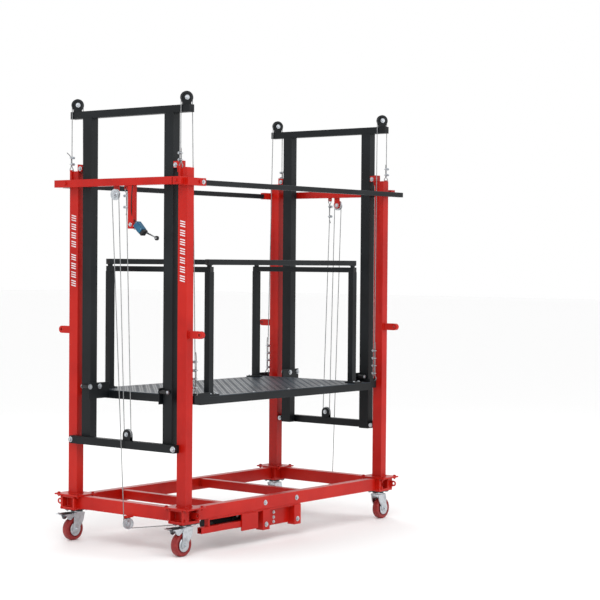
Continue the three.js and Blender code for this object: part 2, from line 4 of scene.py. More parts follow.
import bpy
from mathutils import Matrix, Vector
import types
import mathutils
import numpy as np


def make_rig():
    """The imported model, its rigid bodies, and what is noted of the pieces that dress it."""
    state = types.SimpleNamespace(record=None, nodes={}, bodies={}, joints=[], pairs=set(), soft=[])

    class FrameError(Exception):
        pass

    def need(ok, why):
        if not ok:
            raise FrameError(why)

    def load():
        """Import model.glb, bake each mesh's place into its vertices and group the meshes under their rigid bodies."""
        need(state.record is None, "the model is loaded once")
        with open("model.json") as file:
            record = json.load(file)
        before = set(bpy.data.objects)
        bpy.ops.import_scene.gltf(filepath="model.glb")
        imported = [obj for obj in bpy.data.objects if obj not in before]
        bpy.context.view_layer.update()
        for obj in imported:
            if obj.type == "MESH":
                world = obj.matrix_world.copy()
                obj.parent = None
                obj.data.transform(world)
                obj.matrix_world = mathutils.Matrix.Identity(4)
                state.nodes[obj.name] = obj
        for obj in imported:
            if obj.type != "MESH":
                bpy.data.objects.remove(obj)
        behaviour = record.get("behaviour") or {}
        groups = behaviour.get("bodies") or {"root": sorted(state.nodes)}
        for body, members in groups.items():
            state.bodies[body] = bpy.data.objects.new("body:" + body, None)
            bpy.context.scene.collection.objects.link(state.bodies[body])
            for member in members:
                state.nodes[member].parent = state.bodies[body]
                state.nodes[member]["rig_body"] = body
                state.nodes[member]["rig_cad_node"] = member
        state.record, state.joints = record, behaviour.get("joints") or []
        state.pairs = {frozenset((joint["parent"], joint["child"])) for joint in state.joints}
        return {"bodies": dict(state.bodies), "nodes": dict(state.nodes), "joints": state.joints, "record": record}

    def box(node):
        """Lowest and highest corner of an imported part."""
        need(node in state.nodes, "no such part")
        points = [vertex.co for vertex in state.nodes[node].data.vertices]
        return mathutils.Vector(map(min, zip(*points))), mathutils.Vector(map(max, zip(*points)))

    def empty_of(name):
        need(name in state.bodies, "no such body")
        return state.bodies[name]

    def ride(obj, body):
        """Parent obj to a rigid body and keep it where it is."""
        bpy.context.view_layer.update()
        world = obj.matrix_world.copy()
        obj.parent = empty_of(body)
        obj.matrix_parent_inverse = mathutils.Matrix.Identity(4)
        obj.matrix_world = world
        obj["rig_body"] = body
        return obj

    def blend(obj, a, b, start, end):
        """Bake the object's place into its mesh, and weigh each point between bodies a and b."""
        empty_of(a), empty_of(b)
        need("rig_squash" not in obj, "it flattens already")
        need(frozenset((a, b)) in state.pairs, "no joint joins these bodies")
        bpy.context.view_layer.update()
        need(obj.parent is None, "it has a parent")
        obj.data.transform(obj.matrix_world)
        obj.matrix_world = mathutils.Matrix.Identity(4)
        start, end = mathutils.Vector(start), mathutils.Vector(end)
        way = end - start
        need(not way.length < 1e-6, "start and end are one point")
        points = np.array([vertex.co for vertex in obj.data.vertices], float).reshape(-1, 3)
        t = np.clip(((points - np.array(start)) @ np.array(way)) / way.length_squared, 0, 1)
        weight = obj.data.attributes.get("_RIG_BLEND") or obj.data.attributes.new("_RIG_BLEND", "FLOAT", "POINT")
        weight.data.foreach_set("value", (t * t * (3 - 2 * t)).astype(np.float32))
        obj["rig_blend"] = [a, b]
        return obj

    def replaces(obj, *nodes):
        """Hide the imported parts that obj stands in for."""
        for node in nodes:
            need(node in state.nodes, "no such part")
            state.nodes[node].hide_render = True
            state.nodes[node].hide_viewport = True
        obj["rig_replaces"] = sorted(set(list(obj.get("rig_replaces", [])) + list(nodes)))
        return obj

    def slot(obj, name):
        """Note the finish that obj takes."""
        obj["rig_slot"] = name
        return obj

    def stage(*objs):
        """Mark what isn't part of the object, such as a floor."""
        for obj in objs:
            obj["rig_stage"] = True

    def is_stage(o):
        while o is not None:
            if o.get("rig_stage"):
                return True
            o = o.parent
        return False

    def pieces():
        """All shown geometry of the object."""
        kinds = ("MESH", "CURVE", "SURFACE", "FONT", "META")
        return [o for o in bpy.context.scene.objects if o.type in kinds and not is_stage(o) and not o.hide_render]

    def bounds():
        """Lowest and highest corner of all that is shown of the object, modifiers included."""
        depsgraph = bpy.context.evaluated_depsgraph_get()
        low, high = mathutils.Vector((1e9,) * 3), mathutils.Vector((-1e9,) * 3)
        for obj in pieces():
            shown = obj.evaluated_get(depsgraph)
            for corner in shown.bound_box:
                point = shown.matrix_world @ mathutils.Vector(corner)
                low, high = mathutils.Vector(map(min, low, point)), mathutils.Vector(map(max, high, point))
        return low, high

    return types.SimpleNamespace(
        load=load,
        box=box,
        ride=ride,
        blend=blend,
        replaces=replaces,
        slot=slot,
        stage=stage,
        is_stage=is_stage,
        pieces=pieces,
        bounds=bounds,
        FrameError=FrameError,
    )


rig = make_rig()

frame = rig.load()
CAD_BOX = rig.bounds()
NODES = frame["nodes"]
JOINTS = {j["child"]: j for j in frame["joints"]}
SIDES = {"left": -1, "right": 1}
ENDS = {"front": -1, "back": 1}
UP = Vector((0, 0, 1))

# Driving dimensions, in metres: the column grid, the steel sections and the standard fittings
GRID_X = 0.870
GRID_Y = 0.405
COLUMN_HALF = (0.025, 0.0325)
ROLLER_Y = 0.354
MM = 0.001
WASHER = 0.0016
ROPE_R = 0.0025
ROPE_LAY = 0.034
ROPE_STEP = 0.0043
TOP_PITCH = math.hypot(0.025, 0.017)
TOP_RIM = 0.034
HOIST_PITCH = 0.025
EYE_X = 0.812
GUARD_Y = 0.371
GUARD_POST = 0.018
ARM_FACE = (0.259, 0.265)
ARM_PIN = 0.855


# ---------------------------------------------------------------- camera, floor and light

def make_camera():
    """The eye stands off the left front corner, a little above the deck and looking slightly down."""
    data = bpy.data.cameras.new("camera")
    data.lens = 101.7
    data.sensor_width = 36.0
    data.clip_end = 100
    camera = bpy.data.objects.new("camera", data)
    bpy.context.scene.collection.objects.link(camera)
    yaw, pitch, roll = math.radians(38.488), math.radians(-1.2565), math.radians(0.446)
    forward = Vector((math.cos(yaw) * math.cos(pitch), math.sin(yaw) * math.cos(pitch), math.sin(pitch)))
    right = Vector((math.sin(yaw), -math.cos(yaw), 0))
    up = right.cross(forward)
    across = right * math.cos(roll) + up * math.sin(roll)
    above = up * math.cos(roll) - right * math.sin(roll)
    turn = Matrix((across, above, -forward)).transposed()
    camera.matrix_world = Matrix.Translation((-7.424, -6.380, 1.540)) @ turn.to_4x4()
    bpy.context.scene.camera = camera


def area_light(name, place, target, size, power, colour=(1, 1, 1)):
    data = bpy.data.lights.new(name, "AREA")
    data.shape = "RECTANGLE"
    data.size, data.size_y = size
    data.energy = power
    data.color = colour
    light = bpy.data.objects.new(name, data)
    light.location = place
    light.rotation_euler = (Vector(target) - Vector(place)).to_track_quat("-Z", "Y").to_euler()
    bpy.context.scene.collection.objects.link(light)


def make_studio():
    world = bpy.data.worlds.new("studio")
    world.use_nodes = True
    sky = world.node_tree.nodes["Background"]
    sky.inputs["Color"].default_value = (1.0, 1.0, 1.0, 1)
    sky.inputs["Strength"].default_value = 1.0
    bpy.context.scene.world = world
    bpy.context.scene.view_settings.view_transform = "Standard"
    area_light("key", (-4.5, -3.2, 4.6), (0, 0, 1.0), (3.0, 3.0), 120)
    area_light("fill", (1.5, -6.0, 3.0), (0.2, 0, 1.0), (4.0, 3.0), 60)
    area_light("rim", (3.5, 4.5, 4.0), (0, 0, 1.2), (3.0, 2.0), 50)
    mesh = bpy.data.meshes.new("floor")
    reach = 60.0
    mesh.from_pydata([(-reach, -reach, 0), (reach, -reach, 0), (reach, reach, 0), (-reach, reach, 0)],
                     [], [(0, 1, 2, 3)])
    floor = bpy.data.objects.new("floor", mesh)
    bpy.context.scene.collection.objects.link(floor)
    coat = bpy.data.materials.new("floor_white")
    coat.use_nodes = True
    shader = coat.node_tree.nodes["Principled BSDF"]
    shader.inputs["Base Color"].default_value = (0.97, 0.97, 0.97, 1)
    shader.inputs["Roughness"].default_value = 0.75
    mesh.materials.append(coat)
    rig.stage(floor)


# ---------------------------------------------------------------- materials

class Coat:
    """A procedural material: a principled shader fed by noise in the object's own space."""

    def __init__(self, name, metallic=0.0, coat=0.0, coat_roughness=0.15, specular=0.5):
        self.material = bpy.data.materials.new(name)
        self.material.use_nodes = True
        self.tree = self.material.node_tree
        self.shader = self.tree.nodes["Principled BSDF"]
        self.shader.inputs["Metallic"].default_value = metallic
        self.shader.inputs["Coat Weight"].default_value = coat
        self.shader.inputs["Coat Roughness"].default_value = coat_roughness
        self.shader.inputs["Specular IOR Level"].default_value = specular
        self.place = self.tree.nodes.new("ShaderNodeTexCoord").outputs["Object"]
        self.height = None

    def noise(self, scale, detail=4.0, stretch=(1, 1, 1), roughness=0.55):
        scaled = self.tree.nodes.new("ShaderNodeMapping")
        scaled.inputs["Scale"].default_value = stretch
        self.tree.links.new(self.place, scaled.inputs["Vector"])
        node = self.tree.nodes.new("ShaderNodeTexNoise")
        node.inputs["Scale"].default_value = scale
        node.inputs["Detail"].default_value = detail
        node.inputs["Roughness"].default_value = roughness
        self.tree.links.new(scaled.outputs["Vector"], node.inputs["Vector"])
        return node.outputs["Fac"]

    def ramp(self, value, stops):
        node = self.tree.nodes.new("ShaderNodeValToRGB")
        line = node.color_ramp
        line.elements[0].position, line.elements[1].position = stops[0][0], stops[-1][0]
        for place, _ in stops[1:-1]:
            line.elements.new(place)
        for element, (_, colour) in zip(line.elements, stops):
            element.color = (*colour, 1) if len(colour) == 3 else colour
        self.tree.links.new(value, node.inputs["Fac"])
        return node.outputs["Color"]

    def mix(self, share, first, second):
        node = self.tree.nodes.new("ShaderNodeMix")
        node.data_type = "RGBA"
        self.tree.links.new(share, node.inputs[0])
        for socket, value in ((node.inputs[6], first), (node.inputs[7], second)):
            if isinstance(value, tuple):
                socket.default_value = (*value, 1)
            else:
                self.tree.links.new(value, socket)
        return node.outputs[2]

    def colour(self, value):
        self.tree.links.new(value, self.shader.inputs["Base Color"])

    def gloss(self, value, low, high):
        node = self.tree.nodes.new("ShaderNodeMapRange")
        node.inputs["To Min"].default_value = low
        node.inputs["To Max"].default_value = high
        self.tree.links.new(value, node.inputs["Value"])
        self.tree.links.new(node.outputs["Result"], self.shader.inputs["Roughness"])

    def bump(self, value, strength, distance=0.001):
        node = self.tree.nodes.new("ShaderNodeBump")
        node.inputs["Strength"].default_value = strength
        node.inputs["Distance"].default_value = distance
        self.tree.links.new(value, node.inputs["Height"])
        if self.height is not None:
            self.tree.links.new(self.height, node.inputs["Normal"])
        self.height = node.outputs["Normal"]
        self.tree.links.new(self.height, self.shader.inputs["Normal"])


def enamel(name, body, deep, bright, low, high, peel=0.25, specular=0.2):
    """Sprayed paint: slow colour drift, faint dust and handling marks, orange peel in the gloss."""
    coat = Coat(name, coat=0.04, coat_roughness=0.2, specular=specular)
    drift = coat.ramp(coat.noise(3.0), [(0.35, deep), (0.5, body), (0.68, bright)])
    dust = coat.ramp(coat.noise(55.0, 6.0, (1, 1, 0.25)), [(0.62, (0, 0, 0)), (0.8, (0.2, 0.2, 0.2))])
    dusty = tuple(min(1.0, c * 0.7 + 0.02) for c in bright)
    coat.colour(coat.mix(dust, drift, dusty))
    coat.gloss(coat.noise(14.0, 5.0, (1, 1, 0.4)), low, high)
    coat.bump(coat.noise(420.0, 2.0), peel, 0.0004)
    coat.bump(coat.noise(9.0, 3.0), 0.12, 0.002)
    return coat.material


def bare_metal(name, dark, light, low, high, grain=(1, 1, 1), metallic=1.0):
    """Plated or turned steel: cloudy plating, fine grain and a few dull spots."""
    coat = Coat(name, metallic=metallic)
    cloud = coat.ramp(coat.noise(28.0, 5.0), [(0.3, dark), (0.55, light), (0.75, dark)])
    spots = coat.ramp(coat.noise(130.0, 3.0), [(0.66, (0, 0, 0)), (0.74, (0.5, 0.5, 0.5))])
    coat.colour(coat.mix(spots, cloud, tuple(c * 0.45 for c in dark)))
    coat.gloss(coat.noise(60.0, 4.0, grain), low, high)
    coat.bump(coat.noise(700.0, 2.0, grain), 0.15, 0.0003)
    return coat.material


def moulded(name, body, worn, low, high, texture=900.0, strength=0.25):
    """Moulded rubber or plastic: fine stipple, with scuffs a shade lighter."""
    coat = Coat(name, specular=0.4)
    scuffs = coat.ramp(coat.noise(40.0, 6.0), [(0.5, (0, 0, 0)), (0.72, (1, 1, 1))])
    coat.colour(coat.mix(scuffs, body, worn))
    coat.gloss(coat.noise(25.0, 4.0), low, high)
    coat.bump(coat.noise(texture, 2.0), strength, 0.0003)
    return coat.material


RED = enamel("red_enamel", (0.43, 0.007, 0.003), (0.36, 0.005, 0.002), (0.49, 0.012, 0.005), 0.24, 0.42)
# Lighter, brighter copies of the red and black paints, laid on rounded edges: painted highlight.
RED_HIGHLIGHT = enamel("red_enamel_highlight", (0.54, 0.03, 0.022), (0.46, 0.02, 0.014), (0.62, 0.06, 0.045), 0.2, 0.34)
BLACK = enamel("black_enamel", (0.0045, 0.0062, 0.0078), (0.003, 0.0042, 0.0054), (0.0072, 0.0098, 0.012),
               0.34, 0.52)
BLACK_HIGHLIGHT = enamel("black_enamel_highlight", (0.020, 0.025, 0.029), (0.012, 0.015, 0.018), (0.045, 0.052, 0.058),
                    0.3, 0.45)
TREAD = enamel("deck_slate", (0.016, 0.023, 0.031), (0.011, 0.016, 0.022), (0.024, 0.033, 0.043), 0.28, 0.46)
# A lighter copy of the deck paint, for the chequer bars and the deck plate's rounded edges: painted highlight.
TREAD_HIGHLIGHT = enamel("deck_bars", (0.030, 0.044, 0.060), (0.020, 0.029, 0.040), (0.060, 0.080, 0.102),
                    0.30, 0.46)
ZINC = bare_metal("zinc_plate", (0.36, 0.385, 0.41), (0.58, 0.61, 0.64), 0.24, 0.46)
STEEL = bare_metal("turned_steel", (0.26, 0.27, 0.28), (0.42, 0.43, 0.44), 0.24, 0.42)
STRAND = bare_metal("rope_wire", (0.16, 0.165, 0.17), (0.30, 0.305, 0.31), 0.42, 0.62, metallic=0.7)
OXIDE = bare_metal("black_oxide", (0.008, 0.009, 0.010), (0.018, 0.020, 0.022), 0.32, 0.5, metallic=0.5)
CASTING = enamel("motor_black", (0.005, 0.006, 0.007), (0.003, 0.0035, 0.004), (0.010, 0.011, 0.013),
                 0.42, 0.6, 0.6)
URETHANE = moulded("urethane", (0.22, 0.009, 0.009), (0.32, 0.03, 0.026), 0.32, 0.52)
URETHANE_CORE = moulded("wheel_core", (0.24, 0.009, 0.010), (0.18, 0.008, 0.009), 0.32, 0.46)
BLUE = moulded("switch_blue", (0.006, 0.085, 0.17), (0.012, 0.13, 0.23), 0.32, 0.46)
PLASTIC = moulded("black_plastic", (0.006, 0.006, 0.007), (0.014, 0.014, 0.015), 0.38, 0.58)
RUBBER = moulded("black_rubber", (0.006, 0.006, 0.0065), (0.014, 0.014, 0.015), 0.5, 0.7)
WHITE = moulded("marking_white", (0.74, 0.70, 0.72), (0.56, 0.50, 0.51), 0.4, 0.55)


SLOT_OF = {RED: "red_paint", RED_HIGHLIGHT: "red_paint", BLACK: "black_paint", TREAD_HIGHLIGHT: "tread_plate",
           ZINC: "zinc_plate", STEEL: "bright_steel", OXIDE: "black_steel", STRAND: "wire_rope",
           CASTING: "motor_black", BLUE: "blue_plastic", PLASTIC: "black_rubber", RUBBER: "black_rubber",
           URETHANE: "wheel_urethane", URETHANE_CORE: "wheel_urethane"}


# ---------------------------------------------------------------- mesh building

def basis(axis):
    """Two unit directions square to an axis, the first as level as it can be."""
    axis = Vector(axis).normalized()
    side = UP.cross(axis)
    side = side.normalized() if side.length > 1e-3 else Vector((1, 0, 0))
    return side, axis.cross(side).normalized()


class Shape:
    """A mesh made of loops of points joined by faces."""

    def __init__(self):
        self.points = []
        self.faces = []

    def loft(self, rings, loop=False, caps=True):
        """Skins a list of equal rings. loop joins the last ring to the first."""
        start, count = len(self.points), len(rings[0])
        for ring in rings:
            self.points.extend(ring)
        last = len(rings) if loop else len(rings) - 1
        for i in range(last):
            a, b = start + i * count, start + ((i + 1) % len(rings)) * count
            for k in range(count):
                n = (k + 1) % count
                self.faces.append((a + k, a + n, b + n, b + k))
        if caps and not loop:
            self.faces.append(tuple(start + k for k in reversed(range(count))))
            self.faces.append(tuple(start + (len(rings) - 1) * count + k for k in range(count)))
        return self

    def lathe(self, profile, centre, axis, count=32, loop=False):
        """Turns [radius, along] points about an axis. loop closes the outline on itself, as on a ring."""
        side, up = basis(axis)
        axis, centre = Vector(axis).normalized(), Vector(centre)
        rings = []
        for radius, along in profile:
            rings.append([centre + axis * along + (side * math.cos(a) + up * math.sin(a)) * radius
                          for a in (2 * math.pi * k / count for k in range(count))])
        return self.loft(rings, loop=loop)

    def ring(self, inner, outer, low, high, centre, axis, count):
        """A washer or sleeve between two radii."""
        outline = [(inner, low), (outer, low), (outer, high), (inner, high)]
        return self.lathe(outline, centre, axis, count, loop=True)

    def hexagon(self, centre, axis, radius, low, high):
        """A bolt head or nut with chamfered corners."""
        mid = radius * 0.93
        step = (high - low) * 0.16
        profile = [(mid, low), (radius, low + step), (radius, high - step), (mid, high)]
        return self.lathe(profile, centre, axis, 6)

    def sweep(self, points, radius, sides=10, caps=True, squash=1.0):
        """A round bar along a path; radius may be a number or a function of the share travelled."""
        points = [Vector(p) for p in points]
        tangents = path_tangents(points)
        side, _ = basis(tangents[0])
        rings = []
        for i, (point, along) in enumerate(zip(points, tangents)):
            side = (side - along * side.dot(along)).normalized()
            up = along.cross(side)
            r = radius(i / (len(points) - 1)) if callable(radius) else radius
            rings.append([point + side * (r * math.cos(a)) + up * (r * squash * math.sin(a))
                          for a in (2 * math.pi * k / sides for k in range(sides))])
        return self.loft(rings, caps=caps)

    def prism(self, outline, origin, u, v, depth):
        """A flat plate: outline points along u and v, thickened along u x v."""
        u, v, origin = Vector(u), Vector(v), Vector(origin)
        lift = u.cross(v).normalized() * depth
        base = [origin + u * a + v * b for a, b in outline]
        return self.loft([base, [p + lift for p in base]])

    def block(self, low, high):
        (x0, y0, z0), (x1, y1, z1) = low, high
        base = [Vector((x0, y0, z0)), Vector((x1, y0, z0)), Vector((x1, y1, z0)), Vector((x0, y1, z0))]
        return self.loft([base, [p + UP * (z1 - z0) for p in base]])

    def turn(self, matrix, start=0):
        """Moves the points added since start."""
        self.points[start:] = [matrix @ p for p in self.points[start:]]
        return self


def path_tangents(points):
    out = []
    for i in range(len(points)):
        a, b = points[max(0, i - 1)], points[min(len(points) - 1, i + 1)]
        out.append((b - a).normalized())
    return out


def mirrored(outline, middle=()):
    """A section that is alike on both faces, from its [radius, distance from the middle] points."""
    return [*((r, -a) for r, a in outline), *middle, *reversed(outline)]


def piece(name, shape, material, body, bevel=0.0, segments=2, smooth=38, slot=None):
    """Turns a shape into an object that rides on a body, in its material's slot unless slot is given."""
    mesh = bpy.data.meshes.new(name)
    mesh.from_pydata([tuple(p) for p in shape.points], [], shape.faces)
    mesh.validate()
    mesh.materials.append(material)
    obj = bpy.data.objects.new(name, mesh)
    bpy.context.scene.collection.objects.link(obj)
    mesh.polygons.foreach_set("use_smooth", [True] * len(mesh.polygons))
    mesh.set_sharp_from_angle(angle=math.radians(smooth))
    if bevel:
        soften(obj, bevel, segments)
    slot = slot or SLOT_OF.get(material)
    if slot:
        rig.slot(obj, slot)
    if body:
        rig.ride(obj, body)
    return obj


def zinc(name, shape, body, bevel):
    """Small plated fittings, with one narrow bevel."""
    return piece(name, shape, ZINC, body, bevel=bevel, segments=1)


def soften(obj, width, segments=2, edge=None):
    """Rounds the sharp edges, with the rounding in a lighter coat, a painted highlight, where one is given."""
    bevel = obj.modifiers.new("bevel", "BEVEL")
    bevel.width = width
    bevel.segments = segments
    bevel.limit_method = "ANGLE"
    bevel.angle_limit = math.radians(40)
    if edge is not None:
        obj.data.materials.append(edge)
        bevel.material = len(obj.data.materials) - 1


# ---------------------------------------------------------------- the CAD nodes that stay

# The lighter copy of each paint that the rounded edges take: a painted highlight.
EDGE_HIGHLIGHT = {RED: RED_HIGHLIGHT, BLACK: BLACK_HIGHLIGHT, TREAD: TREAD_HIGHLIGHT}
RED_NODES = ("base_", "column", "corner", "cross", "top_rail", "switch_hanger", "winch_cradle")
BLACK_NODES = ("top_long", "mast", "deck_frame", "guard")


def finish_node(name, material, bevel):
    """A CAD node keeps its shape, with its faces merged, its edges rounded in a lighter coat of painted highlight
    where its paint has one, and a finished surface.
    """
    obj = NODES[name]
    obj.data.materials.clear()
    obj.data.materials.append(material)
    weld = obj.modifiers.new("weld", "WELD")
    weld.merge_threshold = 0.00002
    plain = obj.modifiers.new("plain", "DECIMATE")
    plain.decimate_type = "DISSOLVE"
    plain.angle_limit = math.radians(2)
    if bevel:
        soften(obj, bevel, 2, EDGE_HIGHLIGHT.get(material))
    obj.modifiers.new("normals", "WEIGHTED_NORMAL").keep_sharp = False


def finish_cad_nodes():
    for name in NODES:
        if name.startswith("base_sheave"):
            continue
        if name.startswith(RED_NODES):
            finish_node(name, RED, 0.0022)
        elif name.startswith(BLACK_NODES):
            finish_node(name, BLACK, 0.002)
    finish_node("deck_plate", TREAD, 0.001)
    finish_node("winch_gearbox", CASTING, 0.003)


# ---------------------------------------------------------------- places at the two ends

def at_end(side, x, y, z):
    """A point given for the left end; the right end is the left end turned half way round."""
    k = 1 if side == "left" else -1
    return Vector((k * x, k * y, z))


def way_in(side, end):
    """Which way across the machine an end lies, before the right end is turned."""
    return ENDS[end] * (1 if side == "left" else -1)


def centre_of(body):
    return Vector(JOINTS[body]["pos_m"])


def axis_of(body):
    return Vector(JOINTS[body]["axis"]).normalized()


def hex_bolt(shape, seat, out, radius=0.009, height=0.007, washer=True):
    """A bolt head on its washer, standing out from a seat."""
    out = Vector(out).normalized()
    low = 0.0
    if washer:
        low = WASHER
        shape.ring(radius * 0.4, radius * 1.5, 0, low, seat, out, 28)
    shape.hexagon(seat, out, radius, low, low + height)
    top = low + height
    shape.lathe([(radius * 0.55, top - 0.001), (radius * 0.5, top + 0.0004), (radius * 0.25, top + 0.0004)],
                seat, out, 18)
    return shape


def nut_on_stud(shape, seat, out, radius=0.009, height=0.007, stud=0.004):
    out = Vector(out).normalized()
    shape.ring(radius * 0.6, radius * 1.45, 0, WASHER, seat, out, 28)
    shape.hexagon(seat, out, radius, WASHER, WASHER + height)
    tip = WASHER + height + stud
    shape.lathe([(radius * 0.52, 0), (radius * 0.52, tip - 0.001), (radius * 0.4, tip)], seat, out, 18)
    return shape


# ---------------------------------------------------------------- wire ropes

def arc(centre, u, v, radius, start, end):
    count = max(3, int(abs(end - start) * radius / ROPE_STEP))
    angles = [start + (end - start) * i / count for i in range(count + 1)]
    return [Vector(centre) + u * (radius * math.cos(a)) + v * (radius * math.sin(a)) for a in angles]


def straight(start, end):
    count = max(2, int((end - start).length / ROPE_STEP))
    return [start.lerp(end, i / count) for i in range(count + 1)]


def stranded(name, sections):
    """A six-strand rope laid along one path and cut into sections.

    Each section is (points, how it moves); the lay runs on from one to the next.
    """
    path, marks = [], []
    for points, motion in sections:
        first = max(0, len(path) - 1)
        path.extend(points if not path else points[1:])
        marks.append((first, len(path), motion))
    tangents = path_tangents(path)
    side, _ = basis(tangents[0])
    rings, run = [], 0.0
    for i, (point, along) in enumerate(zip(path, tangents)):
        side = (side - along * side.dot(along)).normalized()
        up = along.cross(side)
        run += (point - path[i - 1]).length if i else 0.0
        ring = []
        for k in range(12):
            a = math.pi * k / 6 + 2 * math.pi * run / ROPE_LAY
            r = ROPE_R * (1.0 if k % 2 else 0.8)
            ring.append(point + side * (r * math.cos(a)) + up * (r * math.sin(a)))
        rings.append(ring)
    for i, (first, last, motion) in enumerate(marks):
        shape = Shape().loft(rings[first:last], caps=i in (0, len(marks) - 1))
        if isinstance(motion, str):
            yield piece(f"{name}_run{i + 1}", shape, STRAND, motion, smooth=60)
        else:
            obj = piece(f"{name}_run{i + 1}", shape, STRAND, None, smooth=60)
            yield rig.blend(obj, *motion, start=path[first], end=path[last - 1])


def rope_clip(shape, centre, out, along):
    """A wire rope grip: U bolt round both parts of the rope, saddle and two nuts."""
    start = len(shape.points)
    gap, reach, bar = 0.0062, 0.0054, 0.0019
    bow = [Vector((gap, -0.007, 0))]
    bow += [Vector((gap * math.cos(a), reach + gap * 0.75 * math.sin(a), 0))
            for a in (math.pi * i / 10 for i in range(11))]
    bow += [Vector((-gap, -0.007, 0))]
    shape.sweep(bow, bar, 8)
    shape.block((-0.0105, -0.0062, -0.0055), (0.0105, -0.0018, 0.0055))
    for x in (gap, -gap):
        shape.hexagon((x, -0.0062, 0), (0, -1, 0), 0.0044, 0, 0.0035)
        shape.lathe([(0.0019, 0), (0.0019, 0.0062), (0.001, 0.0068)], (x, -0.0062, 0), (0, -1, 0), 10)
    up = Vector(along).normalized()
    out = Vector(out).normalized()
    turn = Matrix((out.cross(up), out, up)).transposed().to_4x4()
    shape.turn(Matrix.Translation(centre) @ turn @ Matrix.Diagonal((1.3, 1.15, 1.3, 1)), start)


def rope_end(name, hook, out, up, body, grips, tail, sway=None):
    """The eye a rope is turned back into, with its grips and its spare tail.

    hook is where the eye passes through its lug; out lies across the lug; up is where the rope goes.
    sway is where the end of the tail leans.
    Returns the point where the live rope leaves the eye.
    """
    out, up = Vector(out).normalized(), Vector(up).normalized()
    radius = 0.0125
    centre = hook + up * radius
    live = centre + up * (radius + 0.013)
    spare = live + out * 0.0054
    loop = [live, live - up * 0.003]
    for i in range(17):
        a = math.radians(118 + 304 * i / 16)
        loop.append(centre + out * (radius * math.cos(a) + 0.0027) + up * (radius * math.sin(a)))
    loop += [spare - up * 0.003]
    end = spare + up * tail
    loop += [spare.lerp(end, i / 6) for i in range(7)]
    sway = out.cross(up) if sway is None else sway
    loop += [end + up * (0.012 * i) + (out * 0.7 + sway) * (0.0022 * i * i) for i in (1, 2, 3)]
    shape = Shape().sweep(loop, ROPE_R * 0.95, 10)
    piece(f"{name}_eye", shape, STRAND, body, smooth=60)
    fittings = Shape()
    for rise in grips:
        rope_clip(fittings, live + up * rise, out, up)
    groove = [centre + out * (math.cos(a) * 0.0098 + 0.0027) + up * (math.sin(a) * 0.0098)
              for a in (math.radians(140 + 260 * i / 14) for i in range(15))]
    fittings.sweep(groove, 0.0011, 8)
    zinc(f"{name}_grips", fittings, body, 0.0004)
    return live


def platform_rope(side, end):
    way = way_in(side, end)
    name, mast = f"platform_rope_{side}_{end}", f"mast_{side}"
    centre = centre_of(f"top_sheave_{side}_{end}")
    out = at_end(side, -0.025, 0.017, 0).normalized()
    over = arc(centre, out, UP, TOP_PITCH, 0, math.pi)
    foot = over[0].copy()
    foot.z = 2.029
    across = Vector((0, 1, 0))
    live = rope_end(f"{name}_top", foot, across * way_in(side, end), UP, "base", (0.005, 0.040), 0.032,
                    sway=at_end(side, -1, 0, 0))
    eye_y = -0.426 if way < 0 else 0.405
    hook = at_end(side, -EYE_X, eye_y, 0.838)
    low = rope_end(f"{name}_low", hook, across * ENDS[end], UP, "platform", (0.005, 0.05, 0.095, 0.14), 0.155)
    runs = list(stranded(name, [
        (straight(live, over[0]), ("base", mast)),
        (over, mast),
        (straight(over[-1], low), ("mast_left", "platform")),
    ]))
    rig.replaces(runs[0], name)


def hoist_rope(side):
    name, mast = f"hoist_rope_{side}", f"mast_{side}"
    across, k = at_end(side, 0, 1, 0), -SIDES[side]
    moving, fixed = centre_of(f"moving_sheave_{side}"), centre_of(f"fixed_sheave_{side}")
    low, drum = centre_of(f"base_sheave_{side}"), centre_of("winch_drum")
    hook = at_end(side, -0.932, -0.032, 1.932)
    live = rope_end(f"{name}_dead_end", hook, (k, 0, 0), -UP, "base", (0.005, 0.065), 0.07)
    target = Vector((drum.x, -0.235 if side == "left" else -0.265, 0))
    toward = Vector((target.x - low.x, target.y - low.y, 0)).normalized()
    under = arc(moving, across, UP, HOIST_PITCH, -math.pi, 0)
    over = arc(fixed, across, UP, HOIST_PITCH, math.pi, 0)
    corner = arc(low, toward, UP, HOIST_PITCH, math.pi, 1.5 * math.pi)
    hub = Vector((drum.x, target.y, drum.z))
    first, last = (-math.pi / 2, math.pi) if side == "left" else (math.pi / 2, -math.pi)
    wind = arc(hub, Vector((k, 0, 0)), UP, 0.045, first, last)
    runs = list(stranded(name, [
        (straight(live, under[0]), ("base", mast)),
        (under, mast),
        (straight(under[-1], over[0]), (mast, "base")),
        (over + straight(over[-1], corner[0])[1:] + corner[1:] + straight(corner[-1], wind[0])[1:] + wind[1:],
         "base"),
    ]))
    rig.replaces(runs[0], name)


# ---------------------------------------------------------------- sheaves and rollers

def rope_wheel(body, pitch, rim, material, half=0.007):
    """A turned sheave: rounded groove, dished web with lightening holes left solid, and a hub."""
    floor = pitch - ROPE_R - 0.0006
    groove = []
    for i in range(9):
        a = math.radians(20 + 140 * i / 8)
        groove.append((floor + 0.0034 - 0.0034 * math.sin(a), -0.0036 * math.cos(a)))
    profile = mirrored([(0.0083, half + 0.001), (0.015, half + 0.001), (0.0165, half - 0.001),
                        (pitch - 0.0085, half - 0.0016), (pitch - 0.006, half), (rim - 0.0006, half),
                        (rim, half - 0.0008)], groove)
    wheel = piece(body, Shape().lathe(profile, centre_of(body), axis_of(body), 56, loop=True),
                  material, body, smooth=34)
    wheel.name = f"{body}_wheel"
    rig.replaces(wheel, body)


